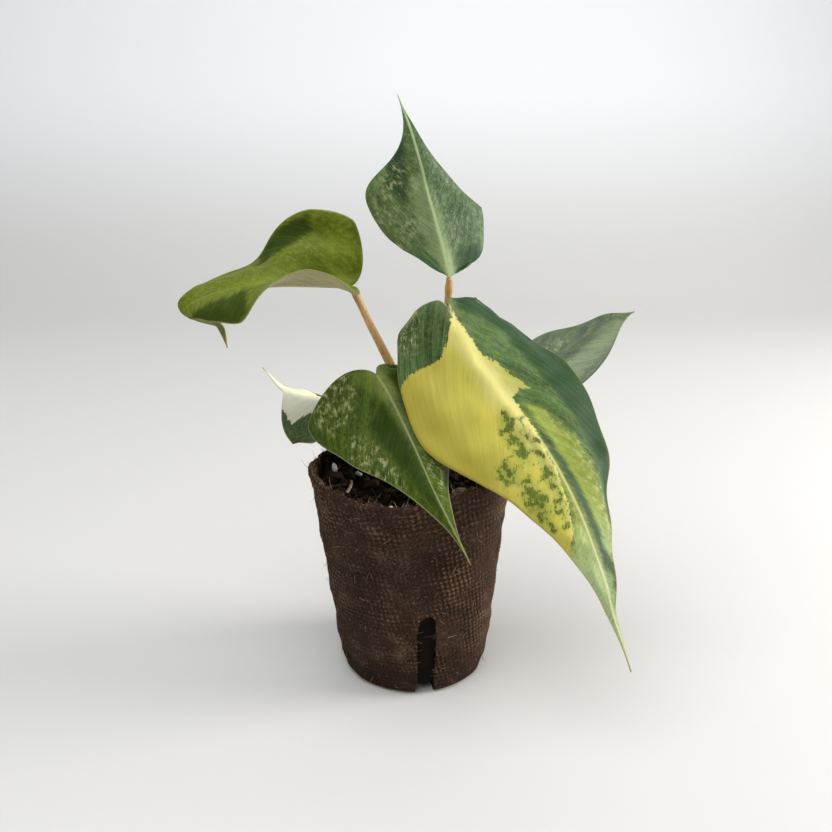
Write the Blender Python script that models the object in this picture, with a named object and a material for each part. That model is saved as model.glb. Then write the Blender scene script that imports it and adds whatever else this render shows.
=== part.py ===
"""Potted philodendron: a moulded fibre nursery pot filled with soil, and one short stem carrying six
heart-shaped leaves on bent stalks. Z is up, the pot's floor rests on z = 0 and the front faces -Y."""

import math

import bmesh
import bpy
import numpy as np

MM = 0.001

# Pot
POT_HEIGHT = 0.064
POT_TOP_RADIUS = 0.030
POT_BASE_RADIUS = 0.0225
POT_WALL = 0.0019
POT_FLOOR = 0.0022
POT_LEAN = -0.0013
BASE_ROUNDING = 0.0024
FLOOR_CORNER = 0.001
RIM_WAVE = (1.0, 0.4, 0.0, -0.3, 0.4, 1.4, 1.8, 2.0, 0.3, 0.6, 3.2, 1.6)
SLOT_COUNT = 3
SLOT_WIDTH = 0.0055
SLOT_HEIGHT = 0.028
SLOT_FIRST_ANGLE = math.radians(-81)
NICK_ANGLE = math.radians(-40)
NICK_HEIGHT = 0.022
NICK_RADIUS = 0.0011

# Soil
SOIL_DROP = 0.006
HEAPS = (
    ((-0.0235, 0.008), 0.0075, 0.0085),
    ((-0.011, -0.009), -0.0035, 0.007),
    ((0.010, -0.014), 0.0025, 0.010),
)
SOIL_LUMP = 0.0008

# Plant. The crown keeps its distance from the front rim, which two of the leaves hang over.
CROWN_RIGHT = 0.004
CROWN_BEHIND_RIM = 0.038
CROWN_BELOW_RIM = 0.004
STEM_RADIUS = 0.0042
STEM_DEPTH = 0.016
STEM_RISE = 0.011
PLANT_HEIGHT = 0.111
RIB_UNITS_TALL = 111
PETIOLE_FOOT_RADIUS = 0.0017
PETIOLE_TOP_RADIUS = 0.0012
PETIOLE_END_GAP = 0.0005
BLADE_THICKNESS = 0.0006

CLEARANCE = 0.0003

COLOURS = {
    "fibre": (0.16, 0.10, 0.07),
    "soil": (0.03, 0.02, 0.015),
    "stem": (0.30, 0.26, 0.10),
    "petiole": (0.50, 0.30, 0.12),
    "perlite": (0.80, 0.79, 0.75),
    "bark": (0.30, 0.19, 0.10),
    "root": (0.32, 0.22, 0.13),
    "blade_top": (0.16, 0.30, 0.17),
    "blade_large": (0.50, 0.52, 0.12),
    "blade_front": (0.14, 0.24, 0.06),
    "blade_left": (0.24, 0.32, 0.05),
    "blade_right": (0.14, 0.30, 0.16),
    "blade_back": (0.60, 0.62, 0.40),
}


def half(width, fold, curl, lobe=-30, **shape):
    """One side of a blade. Width, fold angle and curl angle are given at even steps from the stalk to
    the tip, lobe is how far the part behind the stalk bends, and shape changes the flat outline."""
    return {"width": width, "fold": fold, "curl": curl, "lobe": lobe, "shape": shape}


# Each leaf in millimetres from the crown: its midrib, the way its upper face looks, its two halves
# as seen from the stalk towards the tip, and the middle of its stalk.
LEAVES = {
    "top": {
        "rib": ((6.5, 0, 60.5), (4, 0, 71), (0, 0, 85), (-4, 0, 99), (-8.5, 0, 111)),
        "face": ((0.1, -1, 0.25), (0.1, -1, 0.1), (0.1, -1, -0.1)),
        "left": half((16, 18, 18), (-20, -5, 0), (-30, -20, -20), shoulder=0.5, notch=-0.2, belly=0.2),
        "right": half((19, 18, 14), (-20, -20, -15), (-30, -30, -20), shoulder=0.3, notch=-0.04, belly=0),
        "stalk": ((1, 1, 7), (4, 2, 25), (5.5, 1.5, 43)),
    },
    "large": {
        "rib": (
            (6, -11, 53.5),
            (17.5, -18, 36),
            (31, -28, 20),
            (39.5, -37, 6),
            (45.5, -44, -9),
            (50, -48, -24),
            (54.5, -52, -37.5),
        ),
        "face": ((0.05, -0.8, 0.5), (0.2, -0.9, 0.4), (0.4, -1, 0.2)),
        "left": half(
            (22, 30, 31, 31, 30), (-18, -12, -14, -18, -20), (-65, -36, -32, -32, -30), -150, notch=0.07
        ),
        "right": half(
            (20, 24, 28, 27, 27, 28, 29, 29, 29),
            (-8, -4, 0, 0, -2, -5, -8, -10, -10),
            (-25, -15, -10, -10, -10, -10, -10, -10, -10),
            -130,
            notch=0.11,
        ),
        "stalk": ((2, -2, 5), (6, -3, 22), (6.5, -4, 40)),
    },
    "front": {
        "rib": (
            (-14.5, -12.5, 34.5),
            (-10.5, -17, 29),
            (-4, -27.5, 18.5),
            (2, -38, 8),
            (7, -44, -0.5),
            (11, -49, -7),
        ),
        "face": ((-0.1, -0.9, 0.45), (-0.1, -0.9, 0.4), (-0.1, -0.9, 0.3)),
        "left": half((20, 17, 14), (-20, -46, -46), (-40, -25, -25), -90),
        "right": half((29, 26, 22, 20, 18, 18, 19, 19, 19), (-10, -5, -5), (-15, -10, -10), -20),
        "stalk": ((-1.5, -2.5, 3), (-6, -3.5, 13), (-12, -3, 25)),
    },
    "left": {
        "rib": (
            (-22, -2, 58.5),
            (-34, -4, 59.5),
            (-43.5, -6, 60),
            (-54, -8, 59),
            (-64.5, -10, 56),
            (-69.5, -9, 52),
            (-66, -6, 49),
            (-60.5, -5, 47.5),
            (-58.5, -6, 41),
        ),
        "face": (
            (0.1, -0.3, 1),
            (0.1, -0.3, 1),
            (0, -0.3, 1),
            (-0.2, -0.3, 0.9),
            (-1, -0.3, 0.1),
            (-0.5, -0.5, -1),
            (-0.4, -1, 0),
        ),
        "left": half(
            (20, 20, 20, 20, 19, 17, 15, 46, 60),
            (15, 34, 34, 15, -20, -40, -20, 0, 0),
            (5, 0, 0, 0, -20, -20, -20, -10, 0),
            60,
            notch=0.03,
            tail=0.70,
        ),
        "right": half(
            (21, 21, 21, 19, 18, 17, 16, 46, 60),
            (60, 62, 35, 5, 6, 12, 5, 0, 0),
            (10, 10, 10, 0, -10, -20, -20, 0, 0),
            20,
            notch=0.06,
            tail=0.70,
        ),
        "stalk": ((-2, 1, 8), (-6, 2.5, 20), (-10.5, 1, 33), (-16.5, -0.5, 46)),
    },
    "right": {
        "rib": ((28, 8, 23.5), (38, 12, 30.5), (48, 16, 37.5), (58, 19, 44), (67, 22, 46.5)),
        "face": ((-0.4, -0.3, 1), (-0.4, -0.3, 0.9), (-0.3, -0.3, 0.9)),
        "left": half((18, 18, 18, 22), (5, 5, 5), (-20, -10, -20), tail=0.8),
        "right": half((12, 14, 20, 28), (-5, -10, -10), (-30, -20, -20), belly=0.35, tail=0.85),
        "stalk": ((2, 1, 4), (11, 4, 13), (21, 7, 21)),
    },
    "back": {
        "rib": ((-25, -2, 23.5), (-33, 10, 21), (-40, 20, 19), (-49, 32, 18.5), (-57.5, 42, 23)),
        "face": ((-0.2, -0.2, 1), (-0.2, -0.2, 1), (-0.1, -0.3, 1)),
        "left": half(
            (19, 17, 21, 6, 12), (0, -5, -5, 0, 0), (-65, -60, -50, -10, 0), shoulder=0.3, belly=0
        ),
        "right": half((17, 17, 17), (-30, -30, -10), (-30, -20, -20)),
        "stalk": ((-0.5, 3, 2.5), (-7, 6, 6), (-17, 3, 10), (-23, -1, 17)),
    },
}

# Loose pieces lying in the soil: place on the soil (x, y), size (x, y, z), turn about Z in degrees and
# how far the middle stands above the soil, in millimetres. The places are for a pot of this top radius
# and spread with it.
LOOSE_POT_RADIUS = 0.030
PERLITE = (
    (-24.2, 2.5, (1.4, 1.6, 3.4), 20, 0.5),
    (-20.5, 10, (1.6, 1.5, 1.4), 0, 0.3),
    (-17, 2.5, (1.1, 2.8, 1.2), 50, 0.3),
    (-6.2, -22.3, (3.2, 3.0, 2.8), 0, 1.5),
    (-17, -19, (2.6, 2.2, 2.0), 30, 0.5),
    (14, -8, (2.2, 2.6, 2.0), 10, 0.3),
    (17, 13, (2.8, 2.4, 2.3), 70, 0.4),
    (-4, 22, (2.4, 2.9, 2.2), 40, 0.4),
)
BARK = (
    (13.5, -16, (6.4, 4.4, 5.4), 25, 1.3),
    (20.5, -10, (4.6, 3.4, 3.6), -35, 0.7),
    (-2.5, -20.5, (3.6, 2.4, 3.0), 60, 0.5),
    (-13, 16, (4.6, 3.2, 3.0), 70, 0.5),
    (21, 5, (5.4, 3.6, 3.2), 15, 0.6),
    (-9, 8, (5.0, 4.0, 3.0), -20, 0.7),
    (12, 19.5, (6.0, 3.4, 3.0), -50, 0.6),
    (5.5, -11, (4.2, 3.0, 2.6), 5, 0.4),
)
ROOTS = {
    "root_loop": ((-22.5, 8), (-20.5, 5.5), (-19, 1.5), (-19.5, -3), (-21.5, -7)),
    "root_strand": ((-15, -12), (-12.5, -16), (-11, -20), (-10, -22.5)),
}
ROOT_RADIUS = 0.00055


def clear_scene():
    for item in list(bpy.data.objects):
        bpy.data.objects.remove(item)


def unit(vectors):
    return vectors / np.linalg.norm(vectors, axis=-1, keepdims=True)


def spline(points, share):
    """Smooth curve through evenly spaced values, at each share from 0 to 1 of the way along."""
    values = np.asarray(points, float)
    if values.ndim == 1:
        values = values[:, None]
    share = np.clip(np.asarray(share, float), 0, 1)
    if len(values) == 1:
        return np.broadcast_to(values[0], share.shape + values[0].shape)
    values = np.vstack([2 * values[0] - values[1], values, 2 * values[-1] - values[-2]])
    place = share * (len(values) - 3)
    first = np.minimum(place.astype(int), len(values) - 4)
    part = (place - first)[..., None]
    a, b, c, d = (values[first + step] for step in range(4))
    cubic = 3 * b - a - 3 * c + d
    return 0.5 * (2 * b + (c - a) * part + (2 * a - 5 * b + 4 * c - d) * part**2 + cubic * part**3)


def bezier(points, share):
    share = np.asarray(share, float)[..., None]
    a, b, c, d = np.asarray(points, float)
    rest = 1 - share
    return a * rest**3 + 3 * b * share * rest**2 + 3 * c * share**2 * rest + d * share**3


def arc(length, start, turn):
    """How far along and how far up an arc of this length ends, when it starts at an angle and turns."""
    turn = np.where(np.abs(turn) < 1e-6, 1e-6, turn)
    end = start + turn * length
    return (np.sin(end) - np.sin(start)) / turn, (np.cos(start) - np.cos(end)) / turn


def outline(shoulder=0.17, notch=0.13, belly=0.31, tail=0.60):
    """Half of a flat leaf outline as three curves, in shares of its length and of its half width:
    round the lobe behind the stalk, out to the widest place, and on to the tip."""
    hook = 0.16 if notch < 0 else 0.0
    return (
        ((0, 0), (-0.4 * notch, 0.02 + hook), (-notch, 0.20 + hook), (-notch, 0.46)),
        ((-notch, 0.46), (-notch, 0.80), (shoulder - 0.17, 1.0), (shoulder, 1.0)),
        ((shoulder, 1.0), (shoulder + belly, 1.0), (tail, 0.03), (1.0, 0.0)),
    )


def half_pattern(shape, rows=(4, 4, 12), columns=4, lead=0.15):
    """Shares (along, across) of a grid over half a leaf. A row starts on the midrib and sweeps forward
    to the margin, as a side vein does. The first and the last row are one point each."""
    edge = []
    start = []
    for index, count in enumerate(rows):
        share = np.linspace(0, 1, count + 1)[min(index, 1) :]
        edge.append(bezier(outline(**shape)[index], share))
        if index < 2:
            start.append((index + share) / 2 * (0.17 - lead))
        else:
            start.append(bezier(outline()[2], share)[:, 0] - lead * (1 - share) ** 0.8)
    edge = np.vstack(edge)
    start = np.concatenate(start)
    out = np.linspace(0, 1, columns + 1)
    along = start[:, None] + (edge[:, :1] - start[:, None]) * out**1.25
    return along, edge[:, 1:] * out


def place_half(leaf, side, along, across):
    """Points of one half of a blade in space, in the leaf's own units: side is 1 for right, -1 for left."""
    this = leaf["right" if side > 0 else "left"]
    fine = spline(leaf["rib"], np.linspace(0, 1, 400))
    run = np.concatenate([[0], np.cumsum(np.linalg.norm(np.diff(fine, axis=0), axis=1))])
    slope = unit(np.gradient(fine, axis=0))
    share = np.clip(along, 0, 1)
    reach = share * run[-1]
    point = np.stack([np.interp(reach, run, fine[:, axis]) for axis in range(3)], -1)
    tangent = unit(np.stack([np.interp(reach, run, slope[:, axis]) for axis in range(3)], -1))
    face = spline(leaf["face"], share)
    normal = unit(face - (face * tangent).sum(-1, keepdims=True) * tangent)
    behind = np.clip(-along, 0, None)
    bend = math.radians(this["lobe"]) / 0.13
    back, rise = arc(behind, 0.0, bend)
    point = point + (normal * rise[..., None] - tangent * back[..., None]) * run[-1]
    angle = (behind * bend)[..., None]
    sideways = np.cross(tangent, normal) * side
    normal = normal * np.cos(angle) + tangent * np.sin(angle)
    width = spline(this["width"], share)
    fold = np.radians(spline(this["fold"], share)[..., 0])
    curl = np.radians(spline(this["curl"], share)[..., 0])
    out, up = arc(across, fold, curl)
    return point + (sideways * out[..., None] + normal * up[..., None]) * width


def material(name):
    """The Principled material of that name, made once."""
    found = bpy.data.materials.get(name)
    if found:
        return found
    made = bpy.data.materials.new(name)
    made.use_nodes = True
    shader = made.node_tree.nodes["Principled BSDF"]
    shader.inputs["Base Color"].default_value = (*COLOURS[name], 1)
    shader.inputs["Roughness"].default_value = 0.35 if name.startswith("blade") else 0.85
    return made


def add_piece(name, points, faces, slot=None):
    """A mesh object from points in metres and faces of point numbers."""
    mesh = bpy.data.meshes.new(name)
    mesh.from_pydata([tuple(map(float, point)) for point in points], [], [tuple(face) for face in faces])
    mesh.validate()
    piece = bpy.data.objects.new(name, mesh)
    bpy.context.scene.collection.objects.link(piece)
    if slot:
        mesh.materials.append(material(slot))
    return piece


def hide_cutter(piece):
    piece.hide_render = True
    piece.display_type = "WIRE"
    return piece


def cut(piece, cutter, crosses_itself=False):
    """Takes the cutter's shape out of the piece. A swollen blade can cross itself near its tip."""
    boolean = piece.modifiers.new("cut_" + cutter.name, "BOOLEAN")
    boolean.operation = "DIFFERENCE"
    boolean.solver = "EXACT"
    boolean.use_self = crosses_itself
    boolean.object = cutter


def swollen(piece, by=CLEARANCE):
    """A hidden copy of a piece, larger by the clearance all round, to cut its seat in a neighbour."""
    copy = piece.copy()
    copy.data = piece.data.copy()
    copy.name = piece.name + "_seat"
    bpy.context.scene.collection.objects.link(copy)
    grow = copy.modifiers.new("grow", "DISPLACE")
    grow.direction = "NORMAL"
    grow.mid_level = 0.0
    grow.strength = by
    return hide_cutter(copy)


def ring_faces(rings, around):
    """Faces of a closed tube of rings that share their number of points, with both ends capped."""
    faces = []
    for ring in range(rings - 1):
        for step in range(around):
            following = (step + 1) % around
            first = ring * around
            above = first + around
            faces.append((first + step, first + following, above + following, above + step))
    faces.append(tuple(reversed(range(around))))
    faces.append(tuple((rings - 1) * around + step for step in range(around)))
    return faces


def tube(name, path, radii, slot, around=10, steps=14):
    """A round bar along a smooth path, with its radius splined from the foot to the end."""
    share = np.linspace(0, 1, steps)
    centre = spline(path, share)
    radius = spline(radii, share)
    tangent = unit(np.gradient(centre, axis=0))
    turn = np.linspace(0, 2 * math.pi, around, endpoint=False)
    first = unit(np.cross(tangent[0], (0.31, 0.95, 0.05)))
    points = []
    for middle, direction, wide in zip(centre, tangent, radius):
        first = unit(first - direction * np.dot(first, direction))
        second = np.cross(direction, first)
        circle = np.cos(turn)[:, None] * first + np.sin(turn)[:, None] * second
        points.extend(middle + circle * wide)
    return add_piece(name, points, ring_faces(steps, around), slot)


def pot_radius(height):
    """Outer radius of the plain cone at a height."""
    return POT_BASE_RADIUS + (POT_TOP_RADIUS - POT_BASE_RADIUS) * height / POT_HEIGHT


def pot_point(radius, angle, height):
    """A point of the pot, which leans a little and isn't quite round."""
    share = height / POT_HEIGHT
    wide = radius * (1 + 0.006 * math.sin(2 * angle + 0.7) * share)
    return (wide * math.cos(angle) + POT_LEAN * share, wide * math.sin(angle), height)


def rim_rise(angle):
    """How much higher the rim stands than the pot's height at an angle, counted from +X."""
    closed = RIM_WAVE + RIM_WAVE[:1]
    return float(spline(closed, angle / (2 * math.pi))[0]) * MM


def add_pot(around=72):
    """The pot as one turned wall: out under the floor, up the outside, over the rim and down inside."""
    profile = [(POT_BASE_RADIUS - BASE_ROUNDING - 0.001, 0.0, 0.0)]
    for step in range(5):
        bend = math.radians(-90 + 20 * step)
        out = POT_BASE_RADIUS - BASE_ROUNDING + BASE_ROUNDING * math.cos(bend)
        profile.append((out, BASE_ROUNDING + BASE_ROUNDING * math.sin(bend), 0.0))
    for share in (0.2, 0.4, 0.6, 0.8, 0.93):
        profile.append((pot_radius(POT_HEIGHT * share), POT_HEIGHT * share, 0.0))
    profile.append((pot_radius(POT_HEIGHT) - 0.1 * POT_WALL, POT_HEIGHT - 0.2 * POT_WALL, 1.0))
    profile.append((pot_radius(POT_HEIGHT) - 0.5 * POT_WALL, POT_HEIGHT, 1.0))
    profile.append((pot_radius(POT_HEIGHT) - POT_WALL, POT_HEIGHT - 0.3 * POT_WALL, 1.0))
    for share in (0.93, 0.7, 0.4, 0.15):
        profile.append((pot_radius(POT_HEIGHT * share) - POT_WALL, POT_HEIGHT * share, 0.0))
    corner = POT_FLOOR + FLOOR_CORNER
    profile.append((pot_radius(corner) - POT_WALL, corner, 0.0))
    profile.append((pot_radius(POT_FLOOR) - POT_WALL - FLOOR_CORNER, POT_FLOOR, 0.0))
    points = []
    for radius, height, follow in profile:
        for step in range(around):
            angle = 2 * math.pi * step / around
            points.append(pot_point(radius, angle, height + follow * rim_rise(angle)))
    pot = add_piece("fibre_pot", points, ring_faces(len(profile), around), "fibre")
    for index in range(SLOT_COUNT):
        cut(pot, slot_cutter(index))
    cut(pot, nick_cutter())
    return pot


def slot_cutter(index, arch=8):
    """A drainage slot: an arched door shape pushed through the wall and the edge of the floor."""
    angle = SLOT_FIRST_ANGLE + 2 * math.pi * index / SLOT_COUNT
    half_width = SLOT_WIDTH / 2
    shape = [(half_width, -0.002)]
    for step in range(arch + 1):
        bend = math.pi * step / arch
        shape.append((half_width * math.cos(bend), SLOT_HEIGHT - half_width * (1 - math.sin(bend))))
    shape.append((-half_width, -0.002))
    points = []
    for reach in (POT_BASE_RADIUS - POT_WALL - 0.003, POT_TOP_RADIUS + 0.004):
        for across, height in shape:
            x = reach * math.cos(angle) - across * math.sin(angle)
            y = reach * math.sin(angle) + across * math.cos(angle)
            points.append((x, y, height))
    return hide_cutter(add_piece(f"slot_{index + 1}", points, ring_faces(2, len(shape))))


def nick_cutter():
    """A small hollow knocked into the outside of the wall."""
    radius = pot_radius(NICK_HEIGHT) + 0.3 * NICK_RADIUS
    middle = pot_point(radius, NICK_ANGLE, NICK_HEIGHT)
    ball = pebble_mesh("nick", middle, (1.5 * NICK_RADIUS, NICK_RADIUS, 2 * NICK_RADIUS), NICK_ANGLE, 3, None)
    return hide_cutter(ball)


def soil_height(x, y, lumps):
    """Height of the soil at a place: a level, a few heaps and hollows and many small lumps."""
    height = POT_HEIGHT - SOIL_DROP
    for place, rise, spread in HEAPS:
        apart = math.hypot(x - place[0], y - place[1])
        height += rise * math.exp(-((apart / spread) ** 2))
    for lump_x, lump_y, spread, rise in lumps:
        near = ((x - lump_x) ** 2 + (y - lump_y) ** 2) / spread**2
        height += rise * math.exp(-near)
    return height


def soil_lumps():
    """Seeded small hills and hollows over the soil."""
    random = np.random.default_rng(5)
    lumps = []
    for _ in range(90):
        angle = random.uniform(0, 2 * math.pi)
        reach = POT_TOP_RADIUS * math.sqrt(random.uniform(0, 1))
        spread = random.uniform(0.0016, 0.0034)
        rise = SOIL_LUMP * random.uniform(-1.6, 1.6)
        lumps.append((reach * math.cos(angle), reach * math.sin(angle), spread, rise))
    return lumps


def add_soil(lumps, around=60, rings=11):
    """Soil filling the pot to within the clearance of its wall and floor, with a rough top."""
    points = []
    bottom = POT_FLOOR + CLEARANCE
    inside = POT_WALL + CLEARANCE
    level = POT_HEIGHT - SOIL_DROP - 0.004
    sides = [(1.3 * FLOOR_CORNER, bottom), (0.0, bottom + 1.3 * FLOOR_CORNER)]
    sides += [(0.0, bottom + (level - bottom) * share) for share in (0.3, 0.65, 1.0)]
    for inset, height in sides:
        for step in range(around):
            angle = 2 * math.pi * step / around
            points.append(pot_point(pot_radius(height) - inside - inset, angle, height))
    brim = pot_radius(POT_HEIGHT - SOIL_DROP) - inside
    for ring in range(rings):
        share = 1 - ring / rings
        for step in range(around):
            angle = 2 * math.pi * (step + 0.5 * (ring % 2)) / around
            x, y, _ = pot_point(share * (brim - 0.0004), angle, POT_HEIGHT)
            points.append((x, y, soil_height(x, y, lumps) - (0.0012 if ring == 0 else 0.0)))
    return add_piece("potting_soil", points, ring_faces(len(sides) + rings, around), "soil")


def pebble_mesh(name, middle, size, turn, seed, slot, detail=2):
    """A closed lump with seeded dents: an icosphere pulled out of shape."""
    mesh = bpy.data.meshes.new(name)
    shape = bmesh.new()
    bmesh.ops.create_icosphere(shape, subdivisions=detail, radius=1)
    random = np.random.default_rng(seed)
    waves = random.normal(0, 1, (4, 3)) * 1.6
    phases = random.uniform(0, 2 * math.pi, 4)
    for vertex in shape.verts:
        swell = 1.0
        for wave, phase in zip(waves, phases):
            swell += 0.09 * math.sin(np.dot(wave, vertex.co) + phase)
        x = vertex.co.x * size[0] / 2 * swell
        y = vertex.co.y * size[1] / 2 * swell
        z = vertex.co.z * size[2] / 2 * swell
        vertex.co.x = middle[0] + x * math.cos(turn) - y * math.sin(turn)
        vertex.co.y = middle[1] + x * math.sin(turn) + y * math.cos(turn)
        vertex.co.z = middle[2] + z
    shape.to_mesh(mesh)
    shape.free()
    piece = bpy.data.objects.new(name, mesh)
    bpy.context.scene.collection.objects.link(piece)
    if slot:
        mesh.materials.append(material(slot))
    return piece


def add_loose(kind, table, slot, lumps, seed):
    """The perlite grains or the bark chips, each seated in the soil."""
    made = []
    spread = POT_TOP_RADIUS / LOOSE_POT_RADIUS
    for index, (x, y, size, turn, stand) in enumerate(table):
        x, y = x * MM * spread, y * MM * spread
        middle = (x, y, soil_height(x, y, lumps) + stand * MM)
        size = tuple(side * MM for side in size)
        name = f"{kind}_{index + 1}"
        made.append(pebble_mesh(name, middle, size, math.radians(turn), seed + index, slot))
    return made


def add_roots(lumps):
    """Two thin roots lying half sunk in the soil."""
    made = []
    for name, path in ROOTS.items():
        places = spline(path, np.linspace(0, 1, 9)) * MM * POT_TOP_RADIUS / LOOSE_POT_RADIUS
        line = [(x, y, soil_height(x, y, lumps) + 0.4 * ROOT_RADIUS) for x, y in places]
        radii = (0.7 * ROOT_RADIUS, ROOT_RADIUS, ROOT_RADIUS, 0.6 * ROOT_RADIUS)
        made.append(tube(name, line, radii, "root", around=7, steps=18))
    return made


def plant_points(points):
    """Points given in millimetres from the crown, in metres in the shared frame."""
    crown = np.array([CROWN_RIGHT, CROWN_BEHIND_RIM - POT_TOP_RADIUS, POT_HEIGHT - CROWN_BELOW_RIM])
    return np.asarray(points, float) * PLANT_HEIGHT / RIB_UNITS_TALL + crown


def add_stem():
    """The short upright stem, knobbly where old leaves grew, half of it down in the soil."""
    low = plant_points((-0.5, -0.5, 0)) - (0, 0, STEM_DEPTH)
    high = plant_points((0.5, 0.5, 0)) + (0, 0, STEM_RISE)
    path = [low + (high - low) * share for share in (0, 0.33, 0.66, 1)]
    knobs = (0.55, 0.95, 1.0, 0.9, 1.03, 0.88, 1.0, 0.85, 0.6)
    return tube("stem", path, [STEM_RADIUS * knob for knob in knobs], "stem", around=16, steps=25)


def add_petiole(name, leaf, stem_seat):
    """The stalk of one leaf, from inside the stem to the back of the blade."""
    foot = np.array(leaf["stalk"][0]) * (0.35, 0.35, 1)
    path = plant_points([foot, *leaf["stalk"], leaf["rib"][0]])
    path[-1] += unit(path[-2] - path[-1]) * PETIOLE_END_GAP
    radii = (PETIOLE_FOOT_RADIUS, PETIOLE_FOOT_RADIUS, 0.85 * PETIOLE_FOOT_RADIUS, PETIOLE_TOP_RADIUS)
    petiole = tube(f"{name}_petiole", path, radii, "petiole")
    cut(petiole, stem_seat)
    return petiole


def add_blade(name, leaf):
    """The blade of one leaf: two half grids joined along the midrib, made into a thin solid."""
    points = []
    faces = []
    number = {}

    def point_at(row, column, side, where):
        """The number of a grid point, shared along the midrib and at the two ends."""
        last = len(where) - 1
        key = (row, 0) if column == 0 or row in (0, last) else (row, column * side)
        if key not in number:
            number[key] = len(points)
            points.append(where[row, column if key[1] else 0])
        return number[key]

    for side in (-1, 1):
        along, across = half_pattern(leaf["right" if side > 0 else "left"]["shape"])
        where = plant_points(place_half(leaf, side, along, across))
        for row in range(along.shape[0] - 1):
            for column in range(along.shape[1] - 1):
                corners = [(row, column), (row, column + 1), (row + 1, column + 1), (row + 1, column)]
                face = [point_at(*corner, side, where) for corner in corners[::side]]
                kept = [spot for index, spot in enumerate(face) if spot != face[index - 1]]
                if len(kept) > 2:
                    faces.append(kept)
    blade = add_piece(f"{name}_blade", points, faces, "blade_" + name.removeprefix("leaf_"))
    solid = blade.modifiers.new("thickness", "SOLIDIFY")
    solid.thickness = BLADE_THICKNESS
    solid.offset = 0.0
    return blade


def build():
    clear_scene()
    add_pot()
    lumps = soil_lumps()
    soil = add_soil(lumps)
    stem = add_stem()
    loose = add_loose("perlite", PERLITE, "perlite", lumps, 11)
    loose += add_loose("bark", BARK, "bark", lumps, 41)
    loose += add_roots(lumps)
    stem_seat = swollen(stem)
    cut(soil, stem_seat)
    for piece in loose:
        cut(soil, swollen(piece))
    for name, leaf in LEAVES.items():
        petiole = add_petiole(f"leaf_{name}", leaf, stem_seat)
        blade = add_blade(f"leaf_{name}", leaf)
        cut(petiole, swollen(blade, 2 * CLEARANCE), crosses_itself=True)


build()
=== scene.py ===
import math

import bmesh
import bpy
import numpy as np
from bpy.props import FloatProperty, FloatVectorProperty, IntProperty, PointerProperty
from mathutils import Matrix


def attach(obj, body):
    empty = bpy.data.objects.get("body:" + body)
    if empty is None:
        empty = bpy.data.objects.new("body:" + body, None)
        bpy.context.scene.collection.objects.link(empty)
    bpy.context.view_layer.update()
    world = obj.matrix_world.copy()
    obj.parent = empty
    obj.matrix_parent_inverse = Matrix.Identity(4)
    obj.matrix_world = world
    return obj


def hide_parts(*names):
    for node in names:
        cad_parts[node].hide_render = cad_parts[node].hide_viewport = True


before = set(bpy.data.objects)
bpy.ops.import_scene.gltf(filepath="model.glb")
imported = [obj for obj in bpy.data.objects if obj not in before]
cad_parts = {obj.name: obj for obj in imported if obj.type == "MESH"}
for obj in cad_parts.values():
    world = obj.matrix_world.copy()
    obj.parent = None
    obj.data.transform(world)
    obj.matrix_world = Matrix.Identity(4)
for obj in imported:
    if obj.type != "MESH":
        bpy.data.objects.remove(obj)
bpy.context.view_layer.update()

MM = 0.001

bl_info = {
    "name": "Potted Philodendron",
    "version": (1, 0, 0),
    "blender": (4, 5, 0),
    "location": "3D View > Sidebar > Plant",
    "description": "Builds a small variegated philodendron in a fibre nursery pot around its solid model",
    "category": "Add Mesh",
}

# The shape of the solid model, which the fine pieces follow. Lengths in metres unless a name says otherwise.
POT_HEIGHT = 0.064
POT_TOP_RADIUS = 0.030
POT_BASE_RADIUS = 0.0225
POT_FLOOR = 0.0022
POT_LEAN = -0.0013
BASE_ROUNDING = 0.0024
RIM_WAVE_MM = (1.0, 0.4, 0.0, -0.3, 0.4, 1.4, 1.8, 2.0, 0.3, 0.6, 3.2, 1.6)
SLOT_COUNT = 3
SLOT_WIDTH = 0.0055
SLOT_HEIGHT = 0.028
SLOT_FIRST_ANGLE = math.radians(-81)
SOIL_DROP = 0.006
HEAPS = (
    ((-0.0235, 0.008), 0.0075, 0.0085),
    ((-0.011, -0.009), -0.0035, 0.007),
    ((0.010, -0.014), 0.0025, 0.010),
)
SOIL_LUMP = 0.0008
CRUMB_REACH = 0.0272
THREAD_REACH = 0.026
CROWN = np.array([0.004, 0.008, 0.060])
STEM_RADIUS = 0.0042
STEM_DEPTH = 0.016
STEM_RISE = 0.011
PETIOLE_FOOT_RADIUS = 0.0017
PETIOLE_TOP_RADIUS = 0.0012


def half(width, fold, curl, lobe=-30, **shape):
    """One side of a blade. Width, fold angle and curl angle are given at even steps from the stalk to
    the tip, lobe is how far the part behind the stalk bends, and shape changes the flat outline."""
    return {"width": width, "fold": fold, "curl": curl, "lobe": lobe, "shape": shape}


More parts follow.
